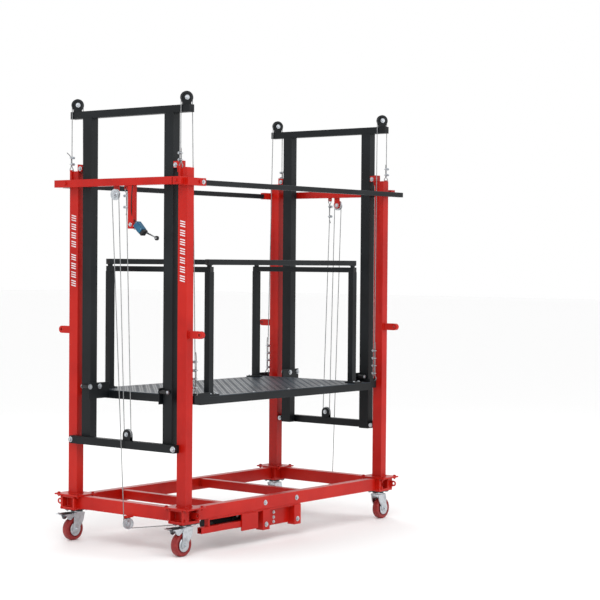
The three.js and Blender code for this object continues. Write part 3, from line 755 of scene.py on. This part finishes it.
def sheave_pin(body, carrier, open_side=0):
    """The bolt, washers and nut that hold a sheave between its cheeks.

    open_side is the side along the axis that has no cheek: there a washer lies on the sheave's hub.
    """
    shape, centre, axis = Shape(), centre_of(body), axis_of(body)
    reach = {s: 0.0082 if s == open_side else 0.0123 for s in (1, -1)}
    hex_bolt(shape, centre + axis * reach[1], axis, 0.0088, 0.005)
    nut_on_stud(shape, centre - axis * reach[-1], -axis, 0.0088, 0.005, 0.002)
    zinc(f"{body}_bolt", shape, carrier, 0.0005)


def roller(name, start, end, radius, body):
    """A guide roller with rounded shoulders."""
    start, end = Vector(start), Vector(end)
    long, out = (end - start).length, (end - start).normalized()
    r, c = radius, 0.0025
    profile = [(0.006, 0), (r - c, 0), (r - c * 0.3, c * 0.3), (r, c), (r, long - c),
               (r - c * 0.3, long - c * 0.3), (r - c, long), (0.006, long)]
    piece(name, Shape().lathe(profile, start, out, 36), PLASTIC, body, smooth=30)


def guide_rollers():
    for side in SIDES:
        outward, inward = at_end(side, -1, 0, 0), at_end(side, 1, 0, 0)
        for end in ENDS:
            s = way_in(side, end)
            y, label = s * ROLLER_Y, f"{side}_{end}"
            roller(f"column_roller_{label}", at_end(side, -0.8925, y, 2.046), at_end(side, -0.8475, y, 2.046),
                   0.0137, "base")
            pins = Shape()
            hex_bolt(pins, at_end(side, -0.8992, y, 2.046), outward, 0.009, 0.0062)
            nut_on_stud(pins, at_end(side, -0.8408, y, 2.046), inward, 0.009, 0.006, 0.002)
            zinc(f"column_roller_pins_{label}", pins, "base", 0.0005)
            roller(f"mast_roller_{label}", at_end(side, -0.8925, y, 0.562), at_end(side, -0.8485, y, 0.562),
                   0.0141, f"mast_{side}")
            pins = Shape()
            nut_on_stud(pins, at_end(side, -0.8478, y, 0.562), inward, 0.009, 0.006, 0.002)
            hex_bolt(pins, at_end(side, -0.9358, s * 0.382, 0.562), outward, 0.0105, 0.0108)
            zinc(f"mast_roller_pins_{label}", pins, f"mast_{side}", 0.0005)
            pins = Shape()
            for place, x in (("outer", -0.9065), ("inner", -0.8335)):
                roller(f"deck_roller_{label}_{place}", at_end(side, x, s * (ARM_FACE[1] + 0.0005), ARM_PIN),
                       at_end(side, x, s * 0.317, ARM_PIN), 0.0108, "platform")
                hex_bolt(pins, at_end(side, x, s * ARM_FACE[0], ARM_PIN), at_end(side, 0, -s, 0), 0.0098,
                         0.0062)
                hex_bolt(pins, at_end(side, x, s * 0.3175, ARM_PIN), at_end(side, 0, s, 0), 0.0085, 0.005)
            zinc(f"deck_roller_pins_{label}", pins, "platform", 0.0005)


# ---------------------------------------------------------------- casters

def in_mm(outline):
    """An outline given in millimetres."""
    return [(a * MM, b * MM) for a, b in outline]


def smooth_outline(corners, steps=5):
    """A closed curve through the corners, by Catmull-Rom."""
    points, n = [], len(corners)
    for i in range(n):
        a, b, c, d = (Vector(corners[(i + k) % n]) for k in (-1, 0, 1, 2))
        for s in range(steps):
            t = s / steps
            square, cube = 2 * a - 5 * b + 4 * c - d, 3 * b - a - 3 * c + d
            p = (2 * b + (c - a) * t + square * t * t + cube * t ** 3) * 0.5
            points.append((p.x, p.y))
    return points


def caster(side, end):
    body = f"caster_{side}_{end}"
    swivel = centre_of(body)
    k = -SIDES[side]     # the wheel trails outward

    def place(x, y, z):
        """A point in millimetres from the foot of the swivel axis, turned round at the right end."""
        return Vector((swivel.x + k * x * MM, swivel.y + k * y * MM, z * MM))

    forward, across = Vector((k, 0, 0)), Vector((0, k, 0))
    axle = place(-30, 0, 62.5)
    fork = Shape()
    outline = smooth_outline([(-37, 151), (-10, 152), (31, 151), (30, 134), (25, 112), (14, 92), (1, 76),
                              (-4, 62), (-9, 50), (-18, 42), (-30, 39), (-42, 42), (-51, 50), (-54, 62),
                              (-52, 76), (-48, 94), (-46, 120)])
    for y in (-25, 29):
        fork.prism(in_mm(outline), place(0, y, 0), forward, UP, 0.0044)
    fork.prism(in_mm([(-37, -29), (31, -29), (31, 29), (-37, 29)]), place(0, 0, 148), forward, across, 0.0044)
    piece(f"{body}_fork", fork, ZINC, body, bevel=0.0012)
    race = Shape().lathe(in_mm([(8.6, 150), (30, 150), (33.5, 153), (33.5, 157.4), (31, 158.4), (31, 160.2),
                                (33, 161.2), (31, 165), (8.6, 165)]), place(0, 0, 0), UP, 48, loop=True)
    head = piece(f"{body}_race", race, ZINC, body, smooth=30)
    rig.replaces(head, f"caster_fork_{side}_{end}")
    seal = Shape().ring(28 * MM, 32 * MM, 158.2 * MM, 160.6 * MM, place(0, 0, 0), UP, 48)
    piece(f"{body}_seal", seal, RUBBER, body)
    nuts = Shape()
    hex_bolt(nuts, axle + across * 0.0300, across, 0.0095, 0.0052)
    nut_on_stud(nuts, axle - across * 0.0300, -across, 0.0095, 0.0052, 0.002)
    for s in (-1, 1):
        nuts.ring(0.0062, 0.0095, 0.0205, 0.0247, axle, across * s, 24)
        nuts.lathe([(0.0062, 0.0285), (0.0185, 0.0285), (0.0200, 0.0292), (0.0200, 0.0298), (0.0062, 0.0302)],
                   axle, across * s, 40, loop=True)
    zinc(f"{body}_axle_nuts", nuts, body, 0.0005)
    guards = Shape()
    for s in (-1, 1):
        guards.lathe([(0.0098, 0.0236), (0.0290, 0.0236), (0.0352, 0.0208), (0.0372, 0.0208),
                      (0.0372, 0.0222), (0.0360, 0.0230), (0.0300, 0.0248), (0.0098, 0.0248)],
                     axle, across * s, 56, loop=True)
    piece(f"{body}_thread_guards", guards, ZINC, body, smooth=28)
    plate = Shape().block(*sorted_box(place(-50.7, -42.7, 165.6), place(50.7, 42.7, 173.4)))
    piece(f"{body}_top_plate", plate, OXIDE, "base", bevel=0.0015)
    bolts = Shape()
    for x in (-41, 41):
        for y in (-33, 33):
            hex_bolt(bolts, place(x, y, 165.6), -UP, 0.007, 0.0045)
    zinc(f"{body}_plate_bolts", bolts, "base", 0.0004)
    wheel(side, end, axle, across)
    if side == "left":
        pedal(end, place, forward, across)


def sorted_box(a, b):
    return Vector(map(min, a, b)), Vector(map(max, a, b))


def wheel(side, end, axle, across):
    """Cast tyre with a crowned tread on a ribbed core, with bearing shields and dust caps."""
    body = f"caster_wheel_{side}_{end}"
    h = 0.020
    tread = mirrored([(0.0475, h - 0.001), (0.0560, h), (0.0590, h - 0.0012), (0.0612, h - 0.0046),
                      (0.0622, h * 0.45)], [(0.0625, 0)])
    tyre = piece(f"{body}_tyre", Shape().lathe(tread, axle, across, 72, loop=True), URETHANE, body, smooth=32)
    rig.replaces(tyre, body)
    web = mirrored([(0.0135, h - 0.002), (0.0225, h - 0.002), (0.0245, h - 0.0055), (0.041, h - 0.0065),
                    (0.0435, h - 0.0022), (0.0476, h - 0.0016)])
    piece(f"{body}_core", Shape().lathe(web, axle, across, 64, loop=True), URETHANE_CORE, body, smooth=32)
    hub = Shape()
    for s in (-1, 1):
        hub.lathe([(0.0064, 0.0165), (0.0136, 0.0165), (0.0136, 0.0188), (0.012, 0.0202), (0.0064, 0.0202)],
                  axle, across * s, 40, loop=True)
    piece(f"{body}_bearings", hub, ZINC, body, smooth=30)


def pedal(end, place, forward, across):
    """Pressed brake lever with side flanges, a rolled hinge and a ribbed rubber tread."""
    body = f"brake_pedal_{end}"
    shape = Shape()
    top = [(-45, 151), (-70, 152), (-102, 151.5), (-134, 156.6), (-142, 155.2), (-142, 153.2), (-134, 154.0),
           (-102, 148.8), (-70, 149), (-45, 148)]
    shape.prism(in_mm(top), place(0, 21, 0), forward, UP, 0.042)
    flange = smooth_outline([(-46, 150), (-80, 150), (-114, 150), (-111, 144), (-96, 140), (-89, 124),
                             (-70, 116), (-50, 128)], 4)
    for y in (23.4, -21.2):
        shape.prism(in_mm(flange), place(0, y, 0), forward, UP, 0.0022)
    plate = piece(f"{body}_plate", shape, ZINC, body, bevel=0.0008)
    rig.replaces(plate, body)
    hinge = Shape().ring(0.0044, 0.0066, -0.0212, 0.0212, centre_of(body), across, 28)
    piece(f"{body}_hinge", hinge, STEEL, body, smooth=30, slot="zinc_plate")
    pin = Shape()
    pin.lathe(mirrored([(0.0001, 0.031), (0.0062, 0.031), (0.0066, 0.0285), (0.004, 0.0283)]),
              centre_of(body), across, 20)
    for s in (-1, 1):
        pin.prism(in_mm([(-46, 141), (-34, 141), (-34, 152), (-46, 155)]), place(0, s * 24.6 + 1.6, 0),
                  forward, UP, 0.0032)
    zinc(f"{body}_pin", pin, JOINTS[body]["parent"], 0.0005)
    grip = Shape()
    grip.prism(in_mm([(-60, 150), (-60, 155.6), (-101, 155.4), (-118, 158.2), (-122, 156.8), (-121, 150.6),
                      (-101, 150)]), place(0, 24.5, 0), forward, UP, 0.049)
    for x in range(-98, -64, 6):
        grip.block(*sorted_box(place(x, -19, 155.0), place(x + 2.6, 19, 156.4)))
    piece(f"{body}_grip", grip, PLASTIC, body, bevel=0.0011)


# ---------------------------------------------------------------- frame fittings

def weld_bead(name, corners, body, material, radius):
    """A rippled weld run round a closed path of corners."""
    path = [Vector(c) for c in [*corners, corners[0]]]
    points = []
    for a, b in zip(path, path[1:]):
        count = max(2, int((b - a).length / 0.0022))
        points += [a.lerp(b, i / count) for i in range(count)]
    points.append(path[-1])
    total = len(points) - 1
    shape = Shape().sweep(points, lambda t: radius * (0.84 + 0.16 * math.cos(t * total * 2.1)), 7)
    piece(name, shape, material, body, smooth=80)


def rectangle(centre, dx, dy):
    x, y, z = centre
    return [(x - dx, y - dy, z), (x + dx, y - dy, z), (x + dx, y + dy, z), (x - dx, y + dy, z)]


def cap(name, centre, half, normal, material, body, dome=0.0015):
    """A closing plate let into the end of a tube: flat rim, slightly raised field."""
    axis = max(range(3), key=lambda i: abs(normal[i]))
    u, v = [i for i in range(3) if i != axis]
    rings = []
    for inset, rise in ((0, -0.004), (0, 0), (0.0012, 0.0012), (0.006, 0.0012), (0.0085, 0.0012 + dome)):
        ring = []
        for a, b in ((-1, -1), (1, -1), (1, 1), (-1, 1)):
            p = Vector(centre)
            p[u] += a * (half[0] - inset)
            p[v] += b * (half[1] - inset)
            p[axis] += normal[axis] * rise
            ring.append(p)
        rings.append(ring)
    first, second, third = rings[0][:3]
    if (second - first).cross(third - second).dot(Vector(normal)) < 0:
        rings = [list(reversed(r)) for r in rings]
    piece(name, Shape().loft(rings), material, body, bevel=0.0006)


def tube_caps():
    for side in SIDES:
        for end in ENDS:
            top = Vector((SIDES[side] * GRID_X, ENDS[end] * GRID_Y, 2.0316))
            cap(f"column_cap_{side}_{end}", top, (0.0245, 0.032), UP, RED, "base")
            beam = Vector((SIDES[side] * GRID_X, ENDS[end] * 0.4396, 2.340))
            cap(f"mast_beam_cap_{side}_{end}", beam, (0.0192, 0.0192), (0, ENDS[end], 0), BLACK,
                f"mast_{side}")
            bar = Vector((SIDES[side] * 0.9165, ENDS[end] * 0.3896, 0.562))
            cap(f"mast_bar_cap_{side}_{end}", bar, (0.0187, 0.0202), (0, ENDS[end], 0), BLACK,
                f"mast_{side}")
        low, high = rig.box(f"guard_end_{side}")
        for end, way in ENDS.items():
            place = Vector(((low.x + high.x) / 2, way * (GUARD_Y + GUARD_POST - 0.0004), high.z - 0.015))
            cap(f"guard_end_cap_{side}_{end}", place, (0.0142, 0.0142), (0, way, 0), PLASTIC, "platform")
        low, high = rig.box(f"top_rail_{side}")
        tip = Vector((SIDES[side] * 0.940, 0, 1.963))
        outer = -SIDES[side]
        tip.y = (high.y if outer > 0 else low.y) - outer * 0.0004
        cap(f"top_rail_cap_{side}", tip, (0.0192, 0.0192), (0, outer, 0), RED, "base")
    for end in ENDS:
        for node, half, y, inset, drop, body in (
                (f"top_long_rail_{end}", 0.0134, 0.455, 0.0030, 0.014, "base"),
                (f"guard_rail_{end}", 0.0143, GUARD_Y, 0.0004, 0.015, "platform")):
            low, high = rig.box(node)
            for side, way in SIDES.items():
                x = high.x if way > 0 else low.x
                cap(f"{node}_cap_{side}", (x - way * inset, ENDS[end] * y, high.z - drop), (half, half),
                    (way, 0, 0), PLASTIC, body)


def column_fittings(side, end):
    sx, sy = SIDES[side], ENDS[end]
    label = f"{side}_{end}"
    x, y = sx * GRID_X, sy * GRID_Y
    weld_bead(f"column_weld_{label}", rectangle((x, y, 0.2592), 0.0262, 0.0337), "base", RED, 0.0035)
    bolts = Shape()
    for dx in (-0.058, 0.058):
        for dy in (-0.073, 0.073):
            hex_bolt(bolts, (x + dx, y + dy, 0.258), UP, 0.0085, 0.0055)
            nut_on_stud(bolts, (x + dx, y + dy, 0.250), -UP, 0.0085, 0.0055, 0.004)
    face = y + sy * 0.052
    for dx, z in ((-0.045, 0.236), (-0.045, 0.192), (0.052, 0.192)):
        hex_bolt(bolts, (x + sx * dx, face, z), (0, sy, 0), 0.008, 0.0055)
    front = x + sx * 0.065
    for dy, z in ((-0.045, 0.246), (0.045, 0.246), (0.045, 0.181)):
        hex_bolt(bolts, (front, y + dy, min(max(z, 0.181), 0.244)), (sx, 0, 0), 0.0065, 0.0048, False)
    piece(f"foot_bolts_{label}", bolts, RED, "base", bevel=0.0006, segments=1)
    lug_y = sy * (GRID_Y + COLUMN_HALF[1] + 0.001)
    weld_bead(f"lug_weld_{label}", [(x - 0.013, lug_y, 1.142), (x + 0.013, lug_y, 1.142),
                                    (x + 0.013, lug_y, 1.180), (x - 0.013, lug_y, 1.180)],
              "base", RED, 0.0028)
    # A thin ring in the lighter red round the lug's hole: a painted highlight.
    ring = Shape().ring(0.0092, 0.0125, 0, 0.0012, (x + sx * 0.012, sy * 0.5135, 1.161), (sx, 0, 0), 36)
    piece(f"lug_highlight_ring_{label}", ring, RED_HIGHLIGHT, "base", bevel=0.0003, segments=1)


def rail_bolts():
    painted, shape = Shape(), Shape()
    for sx, sy in ((-1, -1), (1, 1)):
        hex_bolt(painted, (sx * 0.835, sy * 0.4688, 1.958), (0, sy, 0), 0.0082, 0.0062)
        hex_bolt(shape, (sx * 0.805, sy * 0.4688, 1.958), (0, sy, 0), 0.0082, 0.0062)
        hex_bolt(painted, (sx * 0.9558, sy * 0.412, 1.963), (sx, 0, 0), 0.0082, 0.0062)
    for sx in (-1, 1):
        hex_bolt(painted, (sx * 0.9598, -sx * GRID_Y, 1.963), (sx, 0, 0), 0.0092, 0.0062)
    piece("rail_bolts", painted, RED, "base", bevel=0.0006, segments=1)
    hex_bolt(shape, (-0.9548, -0.084, 1.736), (-1, 0, 0), 0.0072, 0.0056)
    for x in (-0.233, 0.043):
        hex_bolt(shape, (x, -0.4298, 0.215), (0, -1, 0), 0.0098, 0.0066)
        hex_bolt(shape, (x, -0.4378, 0.096), (0, -1, 0), 0.0098, 0.0066)
    for z in (0.095, 0.120, 0.148):
        hex_bolt(shape, (-0.125, -0.3998, z), (0, -1, 0), 0.0064, 0.0052)
    zinc("frame_bolts", shape, "base", 0.0006)


# ---------------------------------------------------------------- winch and switch

def winch():
    low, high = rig.box("winch_motor")
    mid = (low + high) / 2
    radius = (high.z - low.z) / 2 - 0.003
    motor, fins, rings = Shape(), 30, []
    for x in (low.x + 0.030, high.x - 0.016):
        ring = []
        for k in range(fins * 4):
            r = radius if k % 4 in (1, 2) else radius - 0.0055
            a = 2 * math.pi * k / (fins * 4)
            ring.append(Vector((x, mid.y + r * math.cos(a), mid.z + r * math.sin(a))))
        rings.append(ring)
    motor.loft(rings)
    motor.lathe([(0.0005, 0), (radius * 0.72, 0), (radius * 0.93, 0.005), (radius, 0.012), (radius, 0.032),
                 (0.0005, 0.032)], (low.x, mid.y, mid.z), (1, 0, 0), 48)
    motor.lathe([(0.0005, -0.018), (radius + 0.002, -0.018), (radius + 0.002, 0), (0.0005, 0)],
                (high.x, mid.y, mid.z), (1, 0, 0), 48)
    motor.block((low.x + 0.055, mid.y + 0.020, mid.z - 0.025), (high.x - 0.050, mid.y + 0.062, mid.z + 0.025))
    body = piece("winch_motor_housing", motor, CASTING, "base", bevel=0.0009)
    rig.replaces(body, "winch_motor")
    trim = Shape()
    for k in range(6):
        a = math.pi / 6 + math.pi * k / 3
        seat = (low.x + 0.0045, mid.y + radius * 0.78 * math.cos(a), mid.z + radius * 0.78 * math.sin(a))
        hex_bolt(trim, seat, (-1, 0, 0), 0.0035, 0.003, False)
    for x in (low.x + 0.063, high.x - 0.058):
        for z in (-0.018, 0.018):
            hex_bolt(trim, (x, mid.y + 0.062, mid.z + z), (0, 1, 0), 0.003, 0.0022, False)
    for x in (-0.436, -0.313):
        for z in (0.104, 0.162):
            hex_bolt(trim, (x, -0.400, z), (0, -1, 0), 0.006, 0.0045)
    zinc("winch_screws", trim, "base", 0.0004)
    drum_axis, centre = axis_of("winch_drum"), centre_of("winch_drum")
    span_low, span_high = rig.box("winch_drum")
    half = (span_high.y - span_low.y) / 2
    middle_y = (span_high.y + span_low.y) / 2
    hub = Vector((centre.x, middle_y, centre.z))
    flange, barrel = 0.060, 0.0416
    profile = mirrored([(0.0124, half), (0.030, half), (0.034, half - 0.0012),
                        (flange - 0.001, half - 0.0012), (flange, half - 0.0022), (flange, half - 0.0056),
                        (barrel, half - 0.006)])
    spool = Shape().lathe(profile, hub, drum_axis, 64, loop=True)
    drum = piece("winch_drum_spool", spool, STEEL, "winch_drum", smooth=30)
    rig.replaces(drum, "winch_drum")
    turns, pitch = 19, (2 * half - 0.014) / 19
    coil = []
    for i in range(turns):
        for k in range(6):
            a = math.pi * k / 6
            along = -half + 0.007 + pitch * (i + 0.5) - pitch / 2 * math.cos(a)
            coil.append((0.0450 + 0.0024 * math.sin(a), along))
    coil.append((0.0450, half - 0.007))
    shell = [(0.0418, -half + 0.007)] + coil + [(0.0418, half - 0.007)]
    rope = Shape().lathe(shell, hub, drum_axis, 56, loop=True)
    piece("winch_drum_turns", rope, STRAND, "winch_drum", smooth=50)


def limit_switch():
    """Cast case set slantwise at the foot of its hanger, with cover, gland, turret and screws."""
    centre = Vector((-0.940, -0.141, 1.720))
    tilt = Matrix.Translation(centre) @ Matrix.Rotation(math.radians(-45), 4, "X")
    case = Shape().block((-0.017, -0.0185, -0.030), (0.015, 0.0185, 0.030)).turn(tilt)
    body = piece("limit_switch_case", case, BLUE, "base", bevel=0.004, segments=4)
    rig.replaces(body, "limit_switch")
    lid = Shape().block((-0.0205, -0.017, -0.0285), (-0.0172, 0.017, 0.0285)).turn(tilt)
    piece("limit_switch_lid", lid, BLUE, "base", bevel=0.0016, segments=3)
    dark = Shape().block((-0.0168, -0.0165, -0.046), (0.0162, 0.0165, -0.0304))
    dark.lathe([(0.0005, 0), (0.0078, 0), (0.0078, 0.004), (0.0062, 0.006), (0.0062, 0.013), (0.0045, 0.016),
                (0.0005, 0.016)], (0, 0.0, 0.030), UP, 6)
    dark.turn(tilt)
    piece("limit_switch_turret", dark, PLASTIC, "base", bevel=0.0018, segments=3)
    screws = Shape()
    for y in (-0.0135, 0.0135):
        for z in (-0.0245, 0.0245):
            screws.lathe([(0.0005, 0), (0.0021, 0), (0.0021, 0.0009), (0.0012, 0.0013), (0.0005, 0.0013)],
                         (-0.0205, y, z), (-1, 0, 0), 18)
    screws.turn(tilt)
    piece("limit_switch_screws", screws, ZINC, "base", smooth=30)
    plate = Shape().block((-0.9445, -0.134, 1.708), (-0.9355, -0.100, 1.752))
    piece("limit_switch_bracket", plate, ZINC, "base", bevel=0.001)
    start = tilt @ Vector((0, 0, 0.043))
    away = (tilt.to_3x3() @ UP).normalized()
    low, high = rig.box("switch_cable")
    top = Vector((-0.9625, -0.106, high.z - 0.001))
    ctrl = [start, start + away * 0.010, Vector((-0.9605, -0.0935, 1.772)),
            Vector((-0.9605, -0.088, 1.800)), top]
    path = []
    for i in range(25):
        t = i / 24
        weights = [math.comb(4, k) * t ** k * (1 - t) ** (4 - k) for k in range(5)]
        path.append(sum((c * w for c, w in zip(ctrl, weights)), Vector()))
    cable = piece("switch_cable_sheath", Shape().sweep(path, 0.0024, 12), RUBBER, "base", smooth=60)
    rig.replaces(cable, "switch_cable")
    pivot = centre_of("limit_switch_lever")
    low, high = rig.box("limit_switch_lever")
    lever = Shape()
    x0 = low.x
    lever.lathe([(0.0053, 0.0005), (0.0098, 0.0005), (0.011, 0.0017), (0.011, 0.0125), (0.0098, 0.0137),
                 (0.0053, 0.0137)], (x0, pivot.y, pivot.z), (1, 0, 0), 40, loop=True)
    tip = Vector((x0 + 0.0075, -0.238, 1.664))
    along = (tip - Vector((tip.x, pivot.y, pivot.z))).normalized()
    side = Vector((1, 0, 0))
    span = (tip - Vector((tip.x, pivot.y, pivot.z))).length
    outline = [(0.008, -0.0055), (span * 0.55, -0.0042), (span, -0.0042), (span + 0.003, 0), (span, 0.0042),
               (span * 0.55, 0.0042), (0.008, 0.0055)]
    lever.prism(outline, Vector((tip.x, pivot.y, pivot.z)), along, side.cross(along), 0.0026)
    arm = piece("limit_switch_arm", lever, STEEL, "limit_switch_lever", bevel=0.0006)
    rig.replaces(arm, "limit_switch_lever")
    knob = Shape().lathe(mirrored([(0.0024, 0.0065), (0.0105, 0.0065), (0.012, 0.005)]), tip, (1, 0, 0), 36,
                         loop=True)
    piece("limit_switch_roller", knob, PLASTIC, "limit_switch_lever", smooth=30)
    stud = Shape().lathe(mirrored([(0.0005, 0.0085), (0.0042, 0.0085)]), tip, (1, 0, 0), 20)
    piece("limit_switch_roller_rivet", stud, ZINC, "limit_switch_lever", bevel=0.0008)


# ---------------------------------------------------------------- deck and guard

def deck_bars():
    """Chequer plate: raised lens-shaped bars, each square to its neighbours."""
    low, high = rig.box("deck_plate")
    pitch, long, wide, rise = 0.0285, 0.0235, 0.0066, 0.0013
    shape = Shape()
    columns = int((high.x - low.x - 0.024) / pitch)
    rows = int((high.y - low.y - 0.024) / pitch)
    x0 = (low.x + high.x - (columns - 1) * pitch) / 2
    y0 = (low.y + high.y - (rows - 1) * pitch) / 2
    outline = [(-1, 0), (-0.5, -0.86), (0, -1), (0.5, -0.86), (1, 0), (0.5, 0.86), (0, 1), (-0.5, 0.86)]
    feet = [(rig.box(f"guard_end_{side}")[0].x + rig.box(f"guard_end_{side}")[1].x) / 2 for side in SIDES]
    for i in range(columns):
        for j in range(rows):
            x, y = x0 + i * pitch, y0 + j * pitch
            if abs(y) > 0.331 and min(abs(x - foot) for foot in feet) < 0.047:
                continue
            turn = math.radians(45 if (i + j) % 2 else -45)
            c, s = math.cos(turn), math.sin(turn)
            rings = []
            for share, height in ((1.0, -0.0003), (0.82, rise * 0.7), (0.5, rise)):
                ring = []
                for a, b in outline:
                    u, v = a * long / 2 * share, b * wide / 2 * share
                    ring.append(Vector((x + u * c - v * s, y + u * s + v * c, high.z + height)))
                rings.append(ring)
            shape.loft(rings)
    # The bars take the lighter copy of the deck paint: a painted highlight on them.
    piece("deck_chequer_bars", shape, TREAD_HIGHLIGHT, "platform", smooth=70)


def guard_fittings():
    bolts = Shape()
    for side in SIDES:
        low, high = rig.box(f"guard_end_{side}")
        x = (low.x + high.x) / 2
        for end in ENDS:
            y = ENDS[end] * GUARD_Y
            foot = GUARD_POST + 0.0012
            weld_bead(f"guard_weld_{side}_{end}", rectangle((x, y, 0.8392), foot, foot),
                      "platform", BLACK, 0.0026)
            for dx in (-0.023, 0.023):
                hex_bolt(bolts, (x + dx, y + ENDS[end] * 0.034, 0.838), UP, 0.0055, 0.0040)
            weld_bead(f"guard_top_weld_{side}_{end}", rectangle((x, y, 1.5252), 0.0112, 0.0112),
                      "platform", BLACK, 0.0022)
    low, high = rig.box("deck_plate")
    for x in (low.x + 0.02, -0.304, 0.0, 0.304):
        for y in (low.y + 0.018, high.y - 0.018):
            bolts.lathe([(0.0005, -0.0005), (0.0078, -0.0005), (0.0062, 0.0016), (0.003, 0.0024),
                         (0.0005, 0.0025)], (x, y, high.z), UP, 24)
    zinc("platform_bolts", bolts, "platform", 0.0004)


def column_marks():
    """Plain slanted bars, in place of wording, down the outer faces of the two left columns."""
    face = -GRID_X - COLUMN_HALF[0] - 0.0003
    for end, groups in (("back", ((1.79, 4), (1.575, 4))), ("front", ((1.752, 7),))):
        shape = Shape()
        y = ENDS[end] * GRID_Y
        for top, count in groups:
            for i in range(count):
                z = top - i * 0.0475
                for n in range(3):
                    low = z - 0.008 - n * 0.0125
                    outline = [(-0.0175, low), (0.0175, low + 0.007), (0.0175, low + 0.0128),
                               (-0.0175, low + 0.0058)]
                    shape.prism(outline, (face, y, 0), (0, 1, 0), (0, 0, 1), 0.0006)
        piece(f"column_marks_{end}", shape, WHITE, "base")


make_camera()
make_studio()
finish_cad_nodes()
for side in SIDES:
    hoist_rope(side)
    for end in ENDS:
        platform_rope(side, end)
        caster(side, end)
        column_fittings(side, end)
        rope_wheel(f"top_sheave_{side}_{end}", TOP_PITCH, TOP_RIM, OXIDE)
        sheave_pin(f"top_sheave_{side}_{end}", f"mast_{side}")
    rope_wheel(f"moving_sheave_{side}", HOIST_PITCH, 0.030, STEEL)
    rope_wheel(f"fixed_sheave_{side}", HOIST_PITCH, 0.030, ZINC)
    rope_wheel(f"base_sheave_{side}", HOIST_PITCH, 0.030, ZINC)
    sheave_pin(f"moving_sheave_{side}", f"mast_{side}")
    sheave_pin(f"fixed_sheave_{side}", "base", -1)
    sheave_pin(f"base_sheave_{side}", "base", 1)
guide_rollers()
tube_caps()
rail_bolts()
winch()
limit_switch()
deck_bars()
guard_fittings()
column_marks()

with open("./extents.json", "w") as out:
    json.dump({"cad": [list(p) for p in CAD_BOX], "visual": [list(p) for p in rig.bounds()]}, out)
